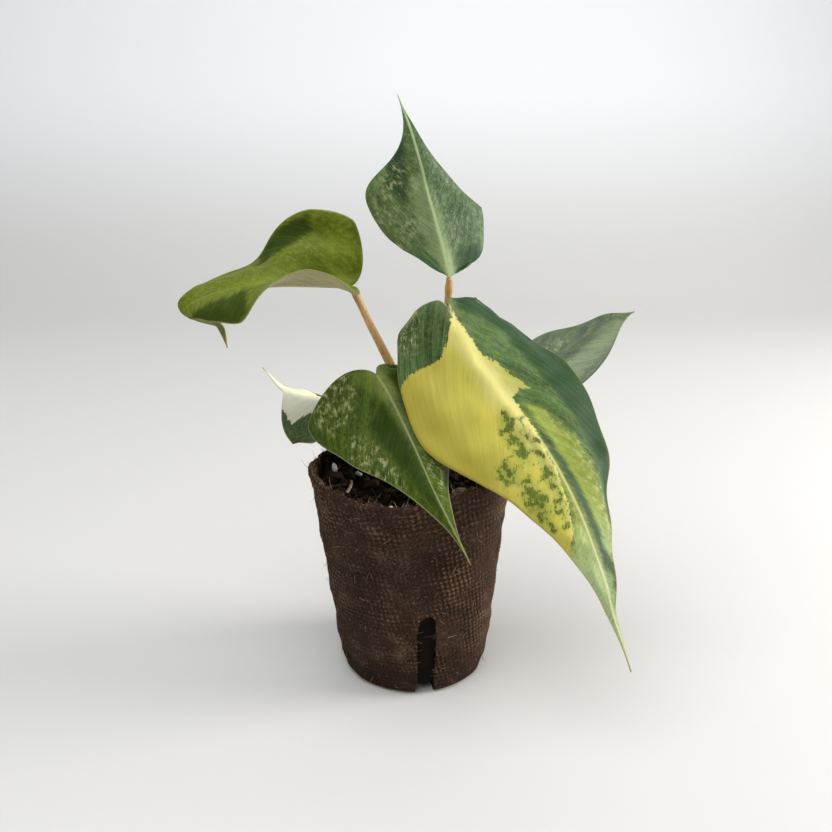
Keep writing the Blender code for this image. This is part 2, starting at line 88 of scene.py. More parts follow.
# Each leaf in millimetres from the crown: its midrib, the way its upper face looks, its two halves
# as seen from the stalk towards the tip, and the middle of its stalk.
LEAVES = {
    "top": {
        "rib": ((6.5, 0, 60.5), (4, 0, 71), (0, 0, 85), (-4, 0, 99), (-8.5, 0, 111)),
        "face": ((0.1, -1, 0.25), (0.1, -1, 0.1), (0.1, -1, -0.1)),
        "left": half((16, 18, 18), (-20, -5, 0), (-30, -20, -20), shoulder=0.5, notch=-0.2, belly=0.2),
        "right": half((19, 18, 14), (-20, -20, -15), (-30, -30, -20), shoulder=0.3, notch=-0.04, belly=0),
        "stalk": ((1, 1, 7), (4, 2, 25), (5.5, 1.5, 43)),
    },
    "large": {
        "rib": ((6, -11, 53.5), (17.5, -18, 36), (31, -28, 20), (39.5, -37, 6), (45.5, -44, -9),
            (50, -48, -24), (54.5, -52, -37.5)),
        "face": ((0.05, -0.8, 0.5), (0.2, -0.9, 0.4), (0.4, -1, 0.2)),
        "left": half((22, 30, 31, 31, 30), (-18, -12, -14, -18, -20), (-65, -36, -32, -32, -30), -150,
            notch=0.07),
        "right": half((20, 24, 28, 27, 27, 28, 29, 29, 29), (-8, -4, 0, 0, -2, -5, -8, -10, -10),
            (-25, -15, -10, -10, -10, -10, -10, -10, -10), -130, notch=0.11),
        "stalk": ((2, -2, 5), (6, -3, 22), (6.5, -4, 40)),
    },
    "front": {
        "rib": ((-14.5, -12.5, 34.5), (-10.5, -17, 29), (-4, -27.5, 18.5), (2, -38, 8), (7, -44, -0.5),
            (11, -49, -7)),
        "face": ((-0.1, -0.9, 0.45), (-0.1, -0.9, 0.4), (-0.1, -0.9, 0.3)),
        "left": half((20, 17, 14), (-20, -46, -46), (-40, -25, -25), -90),
        "right": half((29, 26, 22, 20, 18, 18, 19, 19, 19), (-10, -5, -5), (-15, -10, -10), -20),
        "stalk": ((-1.5, -2.5, 3), (-6, -3.5, 13), (-12, -3, 25)),
    },
    "left": {
        "rib": ((-22, -2, 58.5), (-34, -4, 59.5), (-43.5, -6, 60), (-54, -8, 59), (-64.5, -10, 56),
            (-69.5, -9, 52), (-66, -6, 49), (-60.5, -5, 47.5), (-58.5, -6, 41)),
        "face": ((0.1, -0.3, 1), (0.1, -0.3, 1), (0, -0.3, 1), (-0.2, -0.3, 0.9), (-1, -0.3, 0.1),
            (-0.5, -0.5, -1), (-0.4, -1, 0)),
        "left": half((20, 20, 20, 20, 19, 17, 15, 46, 60), (15, 34, 34, 15, -20, -40, -20, 0, 0),
            (5, 0, 0, 0, -20, -20, -20, -10, 0), 60, notch=0.03, tail=0.70),
        "right": half((21, 21, 21, 19, 18, 17, 16, 46, 60), (60, 62, 35, 5, 6, 12, 5, 0, 0),
            (10, 10, 10, 0, -10, -20, -20, 0, 0), 20, notch=0.06, tail=0.70),
        "stalk": ((-2, 1, 8), (-6, 2.5, 20), (-10.5, 1, 33), (-16.5, -0.5, 46)),
    },
    "right": {
        "rib": ((28, 8, 23.5), (38, 12, 30.5), (48, 16, 37.5), (58, 19, 44), (67, 22, 46.5)),
        "face": ((-0.4, -0.3, 1), (-0.4, -0.3, 0.9), (-0.3, -0.3, 0.9)),
        "left": half((18, 18, 18, 22), (5, 5, 5), (-20, -10, -20), tail=0.8),
        "right": half((12, 14, 20, 28), (-5, -10, -10), (-30, -20, -20), belly=0.35, tail=0.85),
        "stalk": ((2, 1, 4), (11, 4, 13), (21, 7, 21)),
    },
    "back": {
        "rib": ((-25, -2, 23.5), (-33, 10, 21), (-40, 20, 19), (-49, 32, 18.5), (-57.5, 42, 23)),
        "face": ((-0.2, -0.2, 1), (-0.2, -0.2, 1), (-0.1, -0.3, 1)),
        "left": half((19, 17, 21, 6, 12), (0, -5, -5, 0, 0), (-65, -60, -50, -10, 0), shoulder=0.3,
            belly=0),
        "right": half((17, 17, 17), (-30, -30, -10), (-30, -20, -20)),
        "stalk": ((-0.5, 3, 2.5), (-7, 6, 6), (-17, 3, 10), (-23, -1, 17)),
    },
}

# Patches of colour on each blade, as outlines in millimetres: across from the midrib (right half
# positive) and along from the stalk. Gold is solid, fleck and spot are broken up, light and deep are soft.
PATCHES = {
    "top": {
        "fleck": [
            [(-3, 34), (-9, 36), (-16, 26), (-18, 18), (-12, 19), (-8, 28)],
            [(-7, 22), (-13, 16), (-13, 8), (-8, 12), (-5, 18)],
        ],
        "light": [[(-1, 4), (-1.5, 30), (-3.5, 30), (-5, 16), (-3, 6)]],
        # The first deep patch is painted shade, on the lobe that folds back beside the stalk.
        "deep": [[(2, -4), (13, -4), (13, 7), (6, 7)], [(-7, 24), (-11, 30), (-7, 42), (-3, 44), (-4, 32)]],
    },
    "large": {
        "gold": [
            [(-0.4, 1.5), (4.4, 6.6), (9, 11.2), (15, 10.8), (20.5, 10.5), (25, 15.8), (36, 22), (36, 62),
             (14, 84), (7.5, 79), (5.5, 74), (3.2, 69), (1.6, 60), (0.3, 50), (-0.8, 36), (-1.2, 28),
             (-0.9, 10)],
            [(1.5, 12), (-1.6, 17), (-4.4, 21), (-6.4, 26), (-8.6, 31.5), (-5, 30), (-1, 31), (2, 30)],
        ],
        "spot": [
            [(2.5, 32), (7, 35), (9.2, 42), (9.5, 48), (6, 50), (3.5, 45)],
            [(12, 44), (15.5, 46), (15.5, 52), (12, 54), (10, 50)],
            [(9.5, 51), (12.5, 54), (13, 60), (10, 66), (7, 66), (6, 58)],
            [(11.5, 62), (11, 69), (8.8, 72), (8.2, 68)],
            [(1, 36), (3, 42), (4.5, 52), (6, 64), (5.5, 72), (3, 66), (1, 52)],
        ],
        "fleck": [
            [(7, -10), (16, -9), (19, 2), (16, 7), (11, 2), (8, -3)],
            [(1, 44), (4, 56), (7, 70), (8, 80), (5, 88), (1, 92), (0, 70)],
            [(-7, 40), (-11, 52), (-10, 70), (-7, 84), (-6, 66)],
        ],
        "light": [
            [(-3.2, 35), (-6.5, 38), (-9.8, 50), (-9.6, 62), (-8, 74), (-6, 82), (-4.2, 78), (-4, 60),
             (-3.4, 46)],
            [(1.2, 36), (-0.6, 34), (-0.8, 50), (-0.9, 66), (-0.9, 82), (1.8, 82), (1.6, 62)],
            [(0, 62), (3.5, 70), (7.5, 80), (6.5, 92), (3, 104), (0, 112), (-1.2, 96), (-0.8, 78)],
        ],
        "deep": [
            [(-0.7, 41), (-3, 45), (-4.2, 56), (-4.4, 72), (-3.8, 86), (-1.8, 84), (-0.9, 60)],
            [(-9, 6), (-14, 14), (-15, 30), (-15.5, 44), (-14, 58), (-10.5, 72), (-7, 88), (-20, 80),
             (-34, 50), (-34, -20), (-6, -24), (-4, 2)],
        ],
    },
    "front": {
        "fleck": [
            [(6, -9), (20, -10), (24, 0), (21, 8), (12, 6), (8, 0)],
            [(18, 12), (13, 13), (9, 22), (7, 32), (8, 38), (11, 40), (15, 32), (18, 22)],
            [(-3, 24), (-5.5, 28), (-5, 38), (-2, 42), (-1.5, 32)],
        ],
        "light": [[(0, -2), (5, -5), (7, -3), (4, 3), (1, 8), (-2, 5)]],
        "deep": [
            [(3, 8), (9, 12), (8, 20), (4, 34), (1, 46), (0.5, 24)],
            [(-3, 2), (-12, 0), (-14, 14), (-6, 20)],
        ],
    },
    "left": {
        "light": [
            [(0, 0), (3, 2), (6, 10), (3, 24), (1.5, 32), (-2, 26)],
            [(9, 3), (13, 6), (14, 16), (11, 18), (10, 10)],
            [(-2, 32), (-4, 34), (-3.5, 50), (-1, 52), (-1, 40)],
        ],
        "deep": [
            [(15, 12), (20, 12), (18, 24), (11, 28), (11, 20)],
            [(-2.5, 30), (-14, 30), (-12, 46), (-6, 54), (-2.5, 48)],
        ],
    },
    "right": {
        # The light patch is a painted sheen, the reflection of the window along the right half of the blade.
        "light": [[(4, 10), (10, 14), (9, 30), (4, 42), (2, 40), (4.5, 26)]],
        "fleck": [[(-3, 14), (-8, 18), (-6, 26), (-2, 24)]],
    },
    "back": {
        "gold": [
            [(9, -6), (12, 6), (9, 18), (6, 34), (2, 44), (0, 60), (-5, 56), (-6, 40), (-9, 26), (-12, 21),
             (-10, 17.4), (-8, 12.5), (-7, 6), (-7, -6)],
        ],
    },
}

# The colours of each blade's upper face, by the names of the settings.
SHADE_KEYS = ("dark", "green", "light", "fleck", "deep", "rib", "margin", "tail")
SHADES = {
    "top": ("blue_green", "sea_green", "mint", "straw", "blue_green", "mint", "sea_green", "leaf_green"),
    "large": ("blue_green", "sea_green", "yellow_green", "straw", "blue_green", "cream", "tip", "tip"),
    "front": ("deep_green", "leaf_green", "lime", "straw", "deep_green", "straw", "straw", "lime"),
    "left": ("olive", "olive", "lime", "lime", "deep_green", "lime", "khaki", "tip"),
    "right": ("blue_green", "leaf_green", "mint", "mint", "deep_green", "sea_green", "leaf_green", "olive"),
    "back": ("deep_green", "deep_green", "mint", "straw", "deep_green", "cream", "khaki", "tip"),
}
# How strongly each kind of marking shows on it, how wide its midrib is in millimetres, and its polish.
FINISH_KEYS = ("soft", "streak", "mottle", "rib_glow", "rib_show", "vein_show", "rib_width", "rough", "gloss")
FINISHES = {
    "top": (0.50, 0.15, 0.22, 0.75, 0.80, 0.03, 0.80, 0.45, 0.18),
    "large": (1.00, 0.10, 0.20, 0.10, 0.45, 0.05, 0.80, 0.45, 0.12),
    "front": (0.45, 0.10, 0.18, 0.20, 0.35, 0.03, 0.55, 0.45, 0.07),
    "left": (0.40, 0.20, 0.45, 0.25, 0.35, 0.12, 0.55, 0.45, 0.07),
    "right": (0.35, 0.10, 0.10, 0.10, 0.15, 0.03, 0.55, 0.36, 0.75),
    "back": (0.80, 0.10, 0.10, 0.10, 0.35, 0.03, 0.55, 0.45, 0.07),
}
MARGIN_WIDTH = 0.35
# Grid of half a blade: rows along the lobe, the shoulder and the rest, and columns out to the margin.
BLADE_ROWS = (12, 14, 96)
BLADE_COLUMNS = 26
# The kinds of patch, in the order in which the blade's attributes hold how deep a place lies in them.
PATCH_KINDS = ("gold", "fleck", "spot", "light", "deep")

# Loose pieces lying in the soil: place on the soil (x, y), size (x, y, z), turn about Z in degrees and
# how far the middle stands above the soil, in millimetres.
PERLITE = (
    (-24.2, 2.5, (1.4, 1.6, 3.4), 20, 0.5),
    (-20.5, 10, (1.6, 1.5, 1.4), 0, 0.3),
    (-17, 2.5, (1.1, 2.8, 1.2), 50, 0.3),
    (-6.2, -22.3, (3.2, 3.0, 2.8), 0, 1.5),
    (-17, -19, (2.6, 2.2, 2.0), 30, 0.5),
    (14, -8, (2.2, 2.6, 2.0), 10, 0.3),
    (17, 13, (2.8, 2.4, 2.3), 70, 0.4),
    (-4, 22, (2.4, 2.9, 2.2), 40, 0.4),
)
BARK = (
    (13.5, -16, (6.4, 4.4, 5.4), 25, 1.3),
    (20.5, -10, (4.6, 3.4, 3.6), -35, 0.7),
    (-2.5, -20.5, (3.6, 2.4, 3.0), 60, 0.5),
    (-13, 16, (4.6, 3.2, 3.0), 70, 0.5),
    (21, 5, (5.4, 3.6, 3.2), 15, 0.6),
    (-9, 8, (5.0, 4.0, 3.0), -20, 0.7),
    (12, 19.5, (6.0, 3.4, 3.0), -50, 0.6),
    (5.5, -11, (4.2, 3.0, 2.6), 5, 0.4),
)
ROOTS = {
    "root_loop": ((-22.5, 8), (-20.5, 5.5), (-19, 1.5), (-19.5, -3), (-21.5, -7)),
    "root_strand": ((-15, -12), (-12.5, -16), (-11, -20), (-10, -22.5)),
}
ROOT_RADIUS = 0.00055
# Dry remains of old leaves round the stem: turn about Z, height of the foot and length in millimetres.
SHEATHS = ((-1.9, 1.0, 9), (-0.4, 3.0, 8), (1.3, 2.0, 10), (2.9, 0.5, 7))

# The floor turns up into the backdrop this far behind the pot, in a bend of this radius.
SWEEP_START = 0.55
SWEEP_BEND = 0.35
# The camera: its place in metres, how many degrees it looks down and its lens in millimetres.
CAMERA_PLACE = (0.0007, -0.241, 0.1567)
CAMERA_DOWN = 17.5
LENS = 36.8


# ---------------------------------------------------------------- settings

def colour(name, text, value):
    kind = {"size": 3, "min": 0, "max": 1, "subtype": "COLOR"}
    return FloatVectorProperty(name=name, description=text, default=value, **kind)


def length(name, text, value, high=0.01):
    kind = {"min": 0, "max": high, "unit": "LENGTH", "precision": 5}
    return FloatProperty(name=name, description=text, default=value, **kind)


def number(name, text, value, high=6000):
    return IntProperty(name=name, description=text, default=value, min=0, max=high)


def power(name, text, value):
    return FloatProperty(name=name, description=text, default=value, min=0)


class PotSettings(bpy.types.PropertyGroup):
    wall: length("Wall", "Thickness of the moulded wall", 0.0019)
    pitch: length("Imprint pitch", "Distance between the bumps that the moulding screen left", 0.0015)
    imprint: length("Imprint depth", "Height of those bumps", 0.00038)
    rough: length("Unevenness", "Height of the broad lumps of the wall", 0.00045)
    torn: length("Torn rim", "How far the rim goes up and down over a few millimetres", 0.0007)
    hairs: number("Hairs", "Number of loose fibre ends", 1500)
    fibre: colour("Fibre", "Dark brown of the pressed fibre", (0.038, 0.0170, 0.0088))
    # Paler fibre on the bumps, partly wear and partly a painted highlight; the loose hairs use it too.
    worn_and_highlit: colour("Worn fibre", "Paler brown on the bumps", (0.215, 0.128, 0.078))
    hair: colour("Hair", "Loose fibre ends", (0.40, 0.29, 0.20))


class SoilSettings(bpy.types.PropertyGroup):
    crumbs: number("Crumbs", "Number of loose crumbs", 1500)
    threads: number("Threads", "Number of short fibres", 160, 1000)
    humus: colour("Humus", "Damp dark soil", (0.012, 0.008, 0.006))
    crumb: colour("Crumb", "Drier brown bits", (0.075, 0.040, 0.024))
    bark: colour("Bark", "Outer face of the bark chips", (0.26, 0.155, 0.10))
    bark_inside: colour("Bark inside", "Broken golden face of the bark chips", (0.46, 0.31, 0.19))
    perlite: colour("Perlite", "White expanded grains", (0.83, 0.81, 0.77))
    root: colour("Root", "Thin dry roots", (0.36, 0.24, 0.14))


class StalkSettings(bpy.types.PropertyGroup):
    foot: colour("Foot", "Stalk where it leaves the stem", (0.50, 0.30, 0.10))
    middle: colour("Middle", "Stalk half way up", (0.76, 0.48, 0.18))
    end: colour("End", "Stalk just under the blade", (0.50, 0.26, 0.07))
    bark: colour("Stem", "Green-brown skin of the stem", (0.22, 0.20, 0.07))
    scar: colour("Scar", "Dry rings where old leaves grew", (0.30, 0.15, 0.09))


class BladeSettings(bpy.types.PropertyGroup):
    thickness: length("Thickness", "Blade thickness in the middle", 0.00055)
    edge: length("Edge", "Blade thickness at the margin", 0.00026)
    rib: length("Rib", "How far the midrib stands out under the blade", 0.0009)
    vein_gap: length("Vein gap", "Distance between side veins along the midrib", 0.0052)
    quilt: length("Quilting", "How far the blade swells between side veins", 0.0001)
    folds: length("Folds", "Height of the long soft folds beside the midrib", 0.00062)
    ripple: length("Ripple", "How far the margin goes up and down", 0.0007)
    gold: colour("Gold", "Yellow variegation of the large blade", (0.50, 0.44, 0.060))
    cream: colour("Cream", "Cream variegation", (0.90, 0.80, 0.46))
    straw: colour("Straw", "Beige flecks", (0.50, 0.50, 0.24))
    # Mint also paints the sheen on the right blade.
    mint: colour("Mint", "Pale green stripes", (0.46, 0.57, 0.27))
    # Blue-green also paints the shade on the lobe of the top blade.
    blue_green: colour("Blue-green", "Darkest green of the large and the top blade", (0.018, 0.050, 0.018))
    sea_green: colour("Sea green", "Lighter blue-green", (0.060, 0.122, 0.042))
    deep_green: colour("Deep green", "Dark green of the front and back blades", (0.022, 0.045, 0.004))
    leaf_green: colour("Leaf green", "Middle green", (0.060, 0.100, 0.008))
    olive: colour("Olive", "Olive green of the left blade", (0.105, 0.135, 0.006))
    lime: colour("Lime", "Light yellow-green streaks", (0.27, 0.33, 0.060))
    moss: colour("Moss", "Yellowish green of the left side of the top blade", (0.110, 0.165, 0.034))
    yellow_green: colour("Yellow-green", "Soft band of the large blade", (0.32, 0.37, 0.055))
    khaki: colour("Khaki", "Pale underside", (0.44, 0.41, 0.19))
    tip: colour("Tip", "Dry golden-brown drip tip and margin", (0.45, 0.31, 0.11))


class StageSettings(bpy.types.PropertyGroup):
    floor: colour("Floor", "Plain pale floor", (0.66, 0.645, 0.62))
    wall: colour("Wall", "Plain pale backdrop", (0.93, 0.94, 0.95))
    key: power("Key", "Strength of the window light on the right", 6.6)
    fill: power("Fill", "Strength of the soft light from above and in front", 5.4)
    wash: power("Wash", "Strength of the light on the backdrop", 3.4)
    sky: power("Sky", "Strength of the even light all round", 0.33)


class PlantSettings(bpy.types.PropertyGroup):
    pot: PointerProperty(type=PotSettings)
    soil: PointerProperty(type=SoilSettings)
    stalk: PointerProperty(type=StalkSettings)
    blade: PointerProperty(type=BladeSettings)
    stage: PointerProperty(type=StageSettings)


# ---------------------------------------------------------------- curves and noise

def unit(vectors):
    return vectors / np.maximum(np.linalg.norm(vectors, axis=-1, keepdims=True), 1e-12)


def run_along(points):
    """How far along a row of points each one is."""
    return np.concatenate([[0], np.cumsum(np.linalg.norm(np.diff(points, axis=0), axis=1))])


def round_ways(angle):
    """Directions away from the axis and round it, at each angle."""
    cos, sin, flat = np.cos(angle), np.sin(angle), np.zeros_like(angle)
    return np.stack([cos, sin, flat], -1), np.stack([-sin, cos, flat], -1)


def spline(points, place):
    """Smooth curve through evenly spaced values, at each place from 0 to 1 of the way along."""
    values = np.asarray(points, float)
    if values.ndim == 1:
        values = values[:, None]
    place = np.clip(np.asarray(place, float), 0, 1)
    if len(values) == 1:
        return np.broadcast_to(values[0], place.shape + values[0].shape)
    values = np.vstack([2 * values[0] - values[1], values, 2 * values[-1] - values[-2]])
    place = place * (len(values) - 3)
    first = np.minimum(place.astype(int), len(values) - 4)
    part = (place - first)[..., None]
    a, b, c, d = (values[first + step] for step in range(4))
    cubic = 3 * b - a - 3 * c + d
    return 0.5 * (2 * b + (c - a) * part + (2 * a - 5 * b + 4 * c - d) * part**2 + cubic * part**3)


def bezier(points, place):
    place = np.asarray(place, float)[..., None]
    a, b, c, d = np.asarray(points, float)
    rest = 1 - place
    return a * rest**3 + 3 * b * place * rest**2 + 3 * c * place**2 * rest + d * place**3


def arc(reach, start, turn):
    """How far along and how far up an arc of this length ends, when it starts at an angle and turns."""
    turn = np.where(np.abs(turn) < 1e-6, 1e-6, turn)
    end = start + turn * reach
    return (np.sin(end) - np.sin(start)) / turn, (np.cos(start) - np.cos(end)) / turn


def noise(points, size, seed, waves=16):
    """Smooth seeded noise of about -1 to 1, whose bumps are about this size."""
    random = np.random.default_rng(seed)
    points = np.asarray(points, float)
    pushes = unit(random.normal(size=(waves, points.shape[-1]))) * random.uniform(0.6, 1.4, (waves, 1))
    total = np.zeros(points.shape[:-1])
    for push, phase in zip(pushes * (math.pi / size), random.uniform(0, math.tau, waves)):
        total += np.sin(points @ push + phase)
    return total * math.sqrt(1 / waves)


def rough(points, size, seed, octaves=3):
    """Noise with finer and finer detail."""
    return sum(noise(points, size / 2**octave, seed + octave) / 1.8**octave for octave in range(octaves))


def ease(values, low, high):
    """0 below low, 1 above high and smooth in between."""
    part = np.clip((np.asarray(values, float) - low) / (high - low), 0, 1)
    return part * part * (3 - 2 * part)


# ---------------------------------------------------------------- materials

def scaled(tint, by, more=0.0):
    """A colour times a number, no brighter than white."""
    return tuple(min(1.0, by * part + more) for part in tint)


class Value:
    """A socket inside a material. A sum on it adds Math nodes."""

    def __init__(self, shader, socket):
        self.shader = shader
        self.socket = socket

    def math(self, operation, *others):
        return self.shader.math(operation, self, *others)

    def step(self, low, high):
        """0 below low, 1 above high and smooth in between. It falls instead where low is above high."""
        sockets = {"Value": self, "From Min": low, "From Max": high}
        return self.shader.node("ShaderNodeMapRange", {"interpolation_type": "SMOOTHSTEP"}, sockets)

    def mix(self, share, other):
        """This colour with a share of another over it."""
        return self.shader.mix(share, self, other)

    def __add__(self, other):
        return self.math("ADD", other)

    def __sub__(self, other):
        return self.math("SUBTRACT", other)

    def __mul__(self, other):
        return self.math("MULTIPLY", other)

    def __truediv__(self, other):
        return self.math("DIVIDE", other)

    def __rsub__(self, other):
        return self.shader.math("SUBTRACT", other, self)

    def __rtruediv__(self, other):
        return self.shader.math("DIVIDE", other, self)

    def __abs__(self):
        return self.math("ABSOLUTE")

    __radd__ = __add__
    __rmul__ = __mul__


class Shader:
    """One material, built from expressions."""

    def __init__(self, name):
        self.material = bpy.data.materials.new(name)
        self.material.use_nodes = True
        self.tree = self.material.node_tree
        self.surface = self.tree.nodes["Principled BSDF"]

    def node(self, kind, settings, sockets, output=0):
        """One node: its settings go first, then its sockets, by name or number."""
        node = self.tree.nodes.new(kind)
        for name, value in settings.items():
            if name == "stops":
                for index, (place, tint) in enumerate(value):
                    stops = node.color_ramp.elements
                    stop = stops[index] if index < 2 else stops.new(place)
                    stop.position = place
                    stop.color = (*tint, 1)
            else:
                setattr(node, name, value)
        for name, value in sockets.items():
            self.put(node.inputs[name], value)
        return Value(self, node.outputs[output])

    def put(self, socket, value):
        if isinstance(value, Value):
            self.tree.links.new(value.socket, socket)
        elif socket.type == "RGBA":
            socket.default_value = (*value[:3], 1)
        else:
            socket.default_value = value

    def set(self, **sockets):
        """Values or links of the surface's own sockets, with _ for a space."""
        for name, value in sockets.items():
            self.put(self.surface.inputs[name.replace("_", " ")], value)

    def math(self, operation, *values):
        return self.node("ShaderNodeMath", {"operation": operation}, dict(enumerate(values)))

    def mix(self, share, first, second):
        """The first colour with a share of the second over it."""
        return self.node("ShaderNodeMix", {"data_type": "RGBA"}, {0: share, 6: first, 7: second}, 2)

    def attribute(self, name):
        return self.node("ShaderNodeAttribute", {"attribute_name": name}, {}, 1)

    def parts(self, vector):
        first = self.node("ShaderNodeSeparateXYZ", {}, {0: vector})
        return first, *(Value(self, socket) for socket in first.socket.node.outputs[1:])

    def vector(self, x, y, z):
        return self.node("ShaderNodeCombineXYZ", {}, {0: x, 1: y, 2: z})

    def grain(self, vector, scale, detail=3.0, **more):
        sockets = {"Vector": vector, "Scale": scale, "Detail": detail, **more}
        return self.node("ShaderNodeTexNoise", {}, sockets)

    def cells(self, vector, scale):
        return self.node("ShaderNodeTexVoronoi", {}, {"Vector": vector, "Scale": scale})

    def object_place(self):
        return self.node("ShaderNodeTexCoord", {}, {}, 3)

    def bump(self, height, distance):
        self.set(Normal=self.node("ShaderNodeBump", {}, {"Height": height, "Distance": distance}))


def once(make):
    """Makes a material on its first call and finds it again after that."""
    def find(name, *values):
        name = f"fine_{name}"
        return bpy.data.materials.get(name) or make(name, *values)

    return find


@once
def fibre_material(name, pot):
    """Pressed brown fibre: dark between the bumps and paler and hairy on them, which is partly worn fibre and
    partly painted shade and highlight, with a few mineral specks.
    """
    shader = Shader(name)
    turn, height, relief = shader.parts(shader.attribute("wrap"))
    place = shader.object_place()
    broad = shader.grain(place, 90, 4)
    fine = shader.grain(place, 1500, 3)
    one = shader.grain(shader.vector((turn + height) * 0.55, (turn - height) * 3.6, 1.0), 1.0, 3)
    two = shader.grain(shader.vector((turn - height * 1.7) * 3.0, (turn * 1.3 + height) * 0.5, 5.0), 1.0, 3)
    flecks = one.step(0.58, 0.66) + two.step(0.58, 0.66)
    grit = shader.grain(place, 2300, 4, Roughness=0.75)
    # Paler on the bump tops and darker between them: partly worn fibre, partly painted highlight and painted
    # shade.
    worn_and_highlit = (relief + (fine - 0.5) * 2.4 + (broad - 0.5) * 0.8).step(-0.1, 1.3)
    tint = shader.mix(worn_and_highlit, pot.fibre, pot.worn_and_highlit)
    tint = tint.mix(broad.step(0.42, 0.62) * 0.55, scaled(pot.fibre, 0.45))
    tint = tint.mix(grit.step(0.52, 0.70) * 0.45, scaled(pot.worn_and_highlit, 1.25))
    tint = tint.mix(grit.step(0.48, 0.32) * 0.60, scaled(pot.fibre, 0.30))
    tint = tint.mix(flecks * (0.18 + worn_and_highlit * 0.5), pot.hair)
    # The wall is darker towards its foot.
    above_base = (height + (broad - 0.5) * 22).step(4.0, 14.0)
    tint = tint.mix((1 - above_base) * 0.45, scaled(pot.fibre, 0.5))
    shader.set(Base_Color=tint, Roughness=0.72 + fine * 0.22, Specular_IOR_Level=0.12)
    shader.bump(fine * 0.8 + flecks * 0.4 + shader.grain(place, 3800, 2) * 0.6, 0.0005)
    return shader.material


@once
def tinted_material(name, low, high, size, roughness):
    """Rough matter in two colours, with each bit its own shade."""
    shader = Shader(name)
    tone = shader.parts(shader.attribute("tone"))[0]
    place = shader.object_place()
    fine = shader.grain(place, size, 4)
    blend = (tone * 0.75 + fine * 0.5).step(0.25, 1.0)
    shader.set(Base_Color=shader.mix(blend, low, high), Roughness=roughness + fine * 0.15)
    shader.set(Specular_IOR_Level=0.12)
    shader.bump(fine + shader.grain(place, size * 3.1, 2) * 0.4, 0.0003)
    return shader.material


@once
def perlite_material(name, white):
    """Chalky grain, with painted shade in its pits."""
    shader = Shader(name)
    place = shader.object_place()
    pits = shader.cells(place, 2600)
    fine = shader.grain(place, 1400, 4)
    depth = pits.step(0.05, 0.35)
    # Painted shade: the grain is darker in its pits.
    tint = shader.mix(depth, scaled(white, 0.55), white)
    tint = tint.mix(fine.step(0.55, 0.75) * 0.4, (0.62, 0.55, 0.46))
    shader.set(Base_Color=tint, Roughness=0.75 + fine * 0.2)
    shader.bump(depth + fine * 0.5, 0.0003)
    return shader.material


@once
def bark_material(name, outside, inside):
    """Bark in layers: a brown outer face, and a golden broken one with dark lines between the layers."""
    shader = Shader(name)
    place = shader.object_place()
    x, y, z = shader.parts(place)
    layers = shader.grain(shader.vector(x * 260, y * 260, z * 2400), 1.0, 4)
    fine = shader.grain(place, 1800, 4)
    patch = shader.grain(place, 420, 2)
    tint = shader.mix((patch + layers * 0.4).step(0.55, 0.85), outside, inside)
    tint = tint.mix(layers.step(0.52, 0.40), scaled(outside, 0.22))
    tint = tint.mix(fine.step(0.60, 0.72) * 0.6, (0.70, 0.52, 0.33))
    shader.set(Base_Color=tint, Roughness=0.7 + fine * 0.25, Specular_IOR_Level=0.3)
    shader.bump(layers + fine * 0.5, 0.0004)
    return shader.material


@once
def stalk_material(name, foot, middle, end):
    """Smooth living skin with fine lengthwise lines. It changes colour from the foot to the end."""
    shader = Shader(name)
    turn, along, part = shader.parts(shader.attribute("wrap"))
    lines = shader.grain(shader.vector(turn * 3.0, along * 0.16, 2.0), 1.0, 3)
    mottle = shader.grain(shader.vector(turn * 0.7, along * 0.5, 7.0), 1.0, 4)
    specks = shader.grain(shader.vector(turn * 2.0, along * 1.3, 4.0), 1.0, 3)
    ramp = {"stops": [(0.0, foot), (1.0, end), (0.5, middle)]}
    tint = shader.node("ShaderNodeValToRGB", ramp, {"Fac": part + (mottle - 0.5) * 0.3})
    tint = tint.mix(lines.step(0.45, 0.70) * 0.35, scaled(middle, 1.45, 0.05))
    tint = tint.mix(lines.step(0.50, 0.32) * 0.45, scaled(end, 0.5))
    tint = tint.mix(specks.step(0.62, 0.70) * 0.4, scaled(end, 0.4))
    shader.set(Base_Color=tint, Roughness=0.30 + mottle * 0.2, Coat_Weight=0.15 + mottle * 0.1)
    shader.bump(lines, 0.00012)
    return shader.material


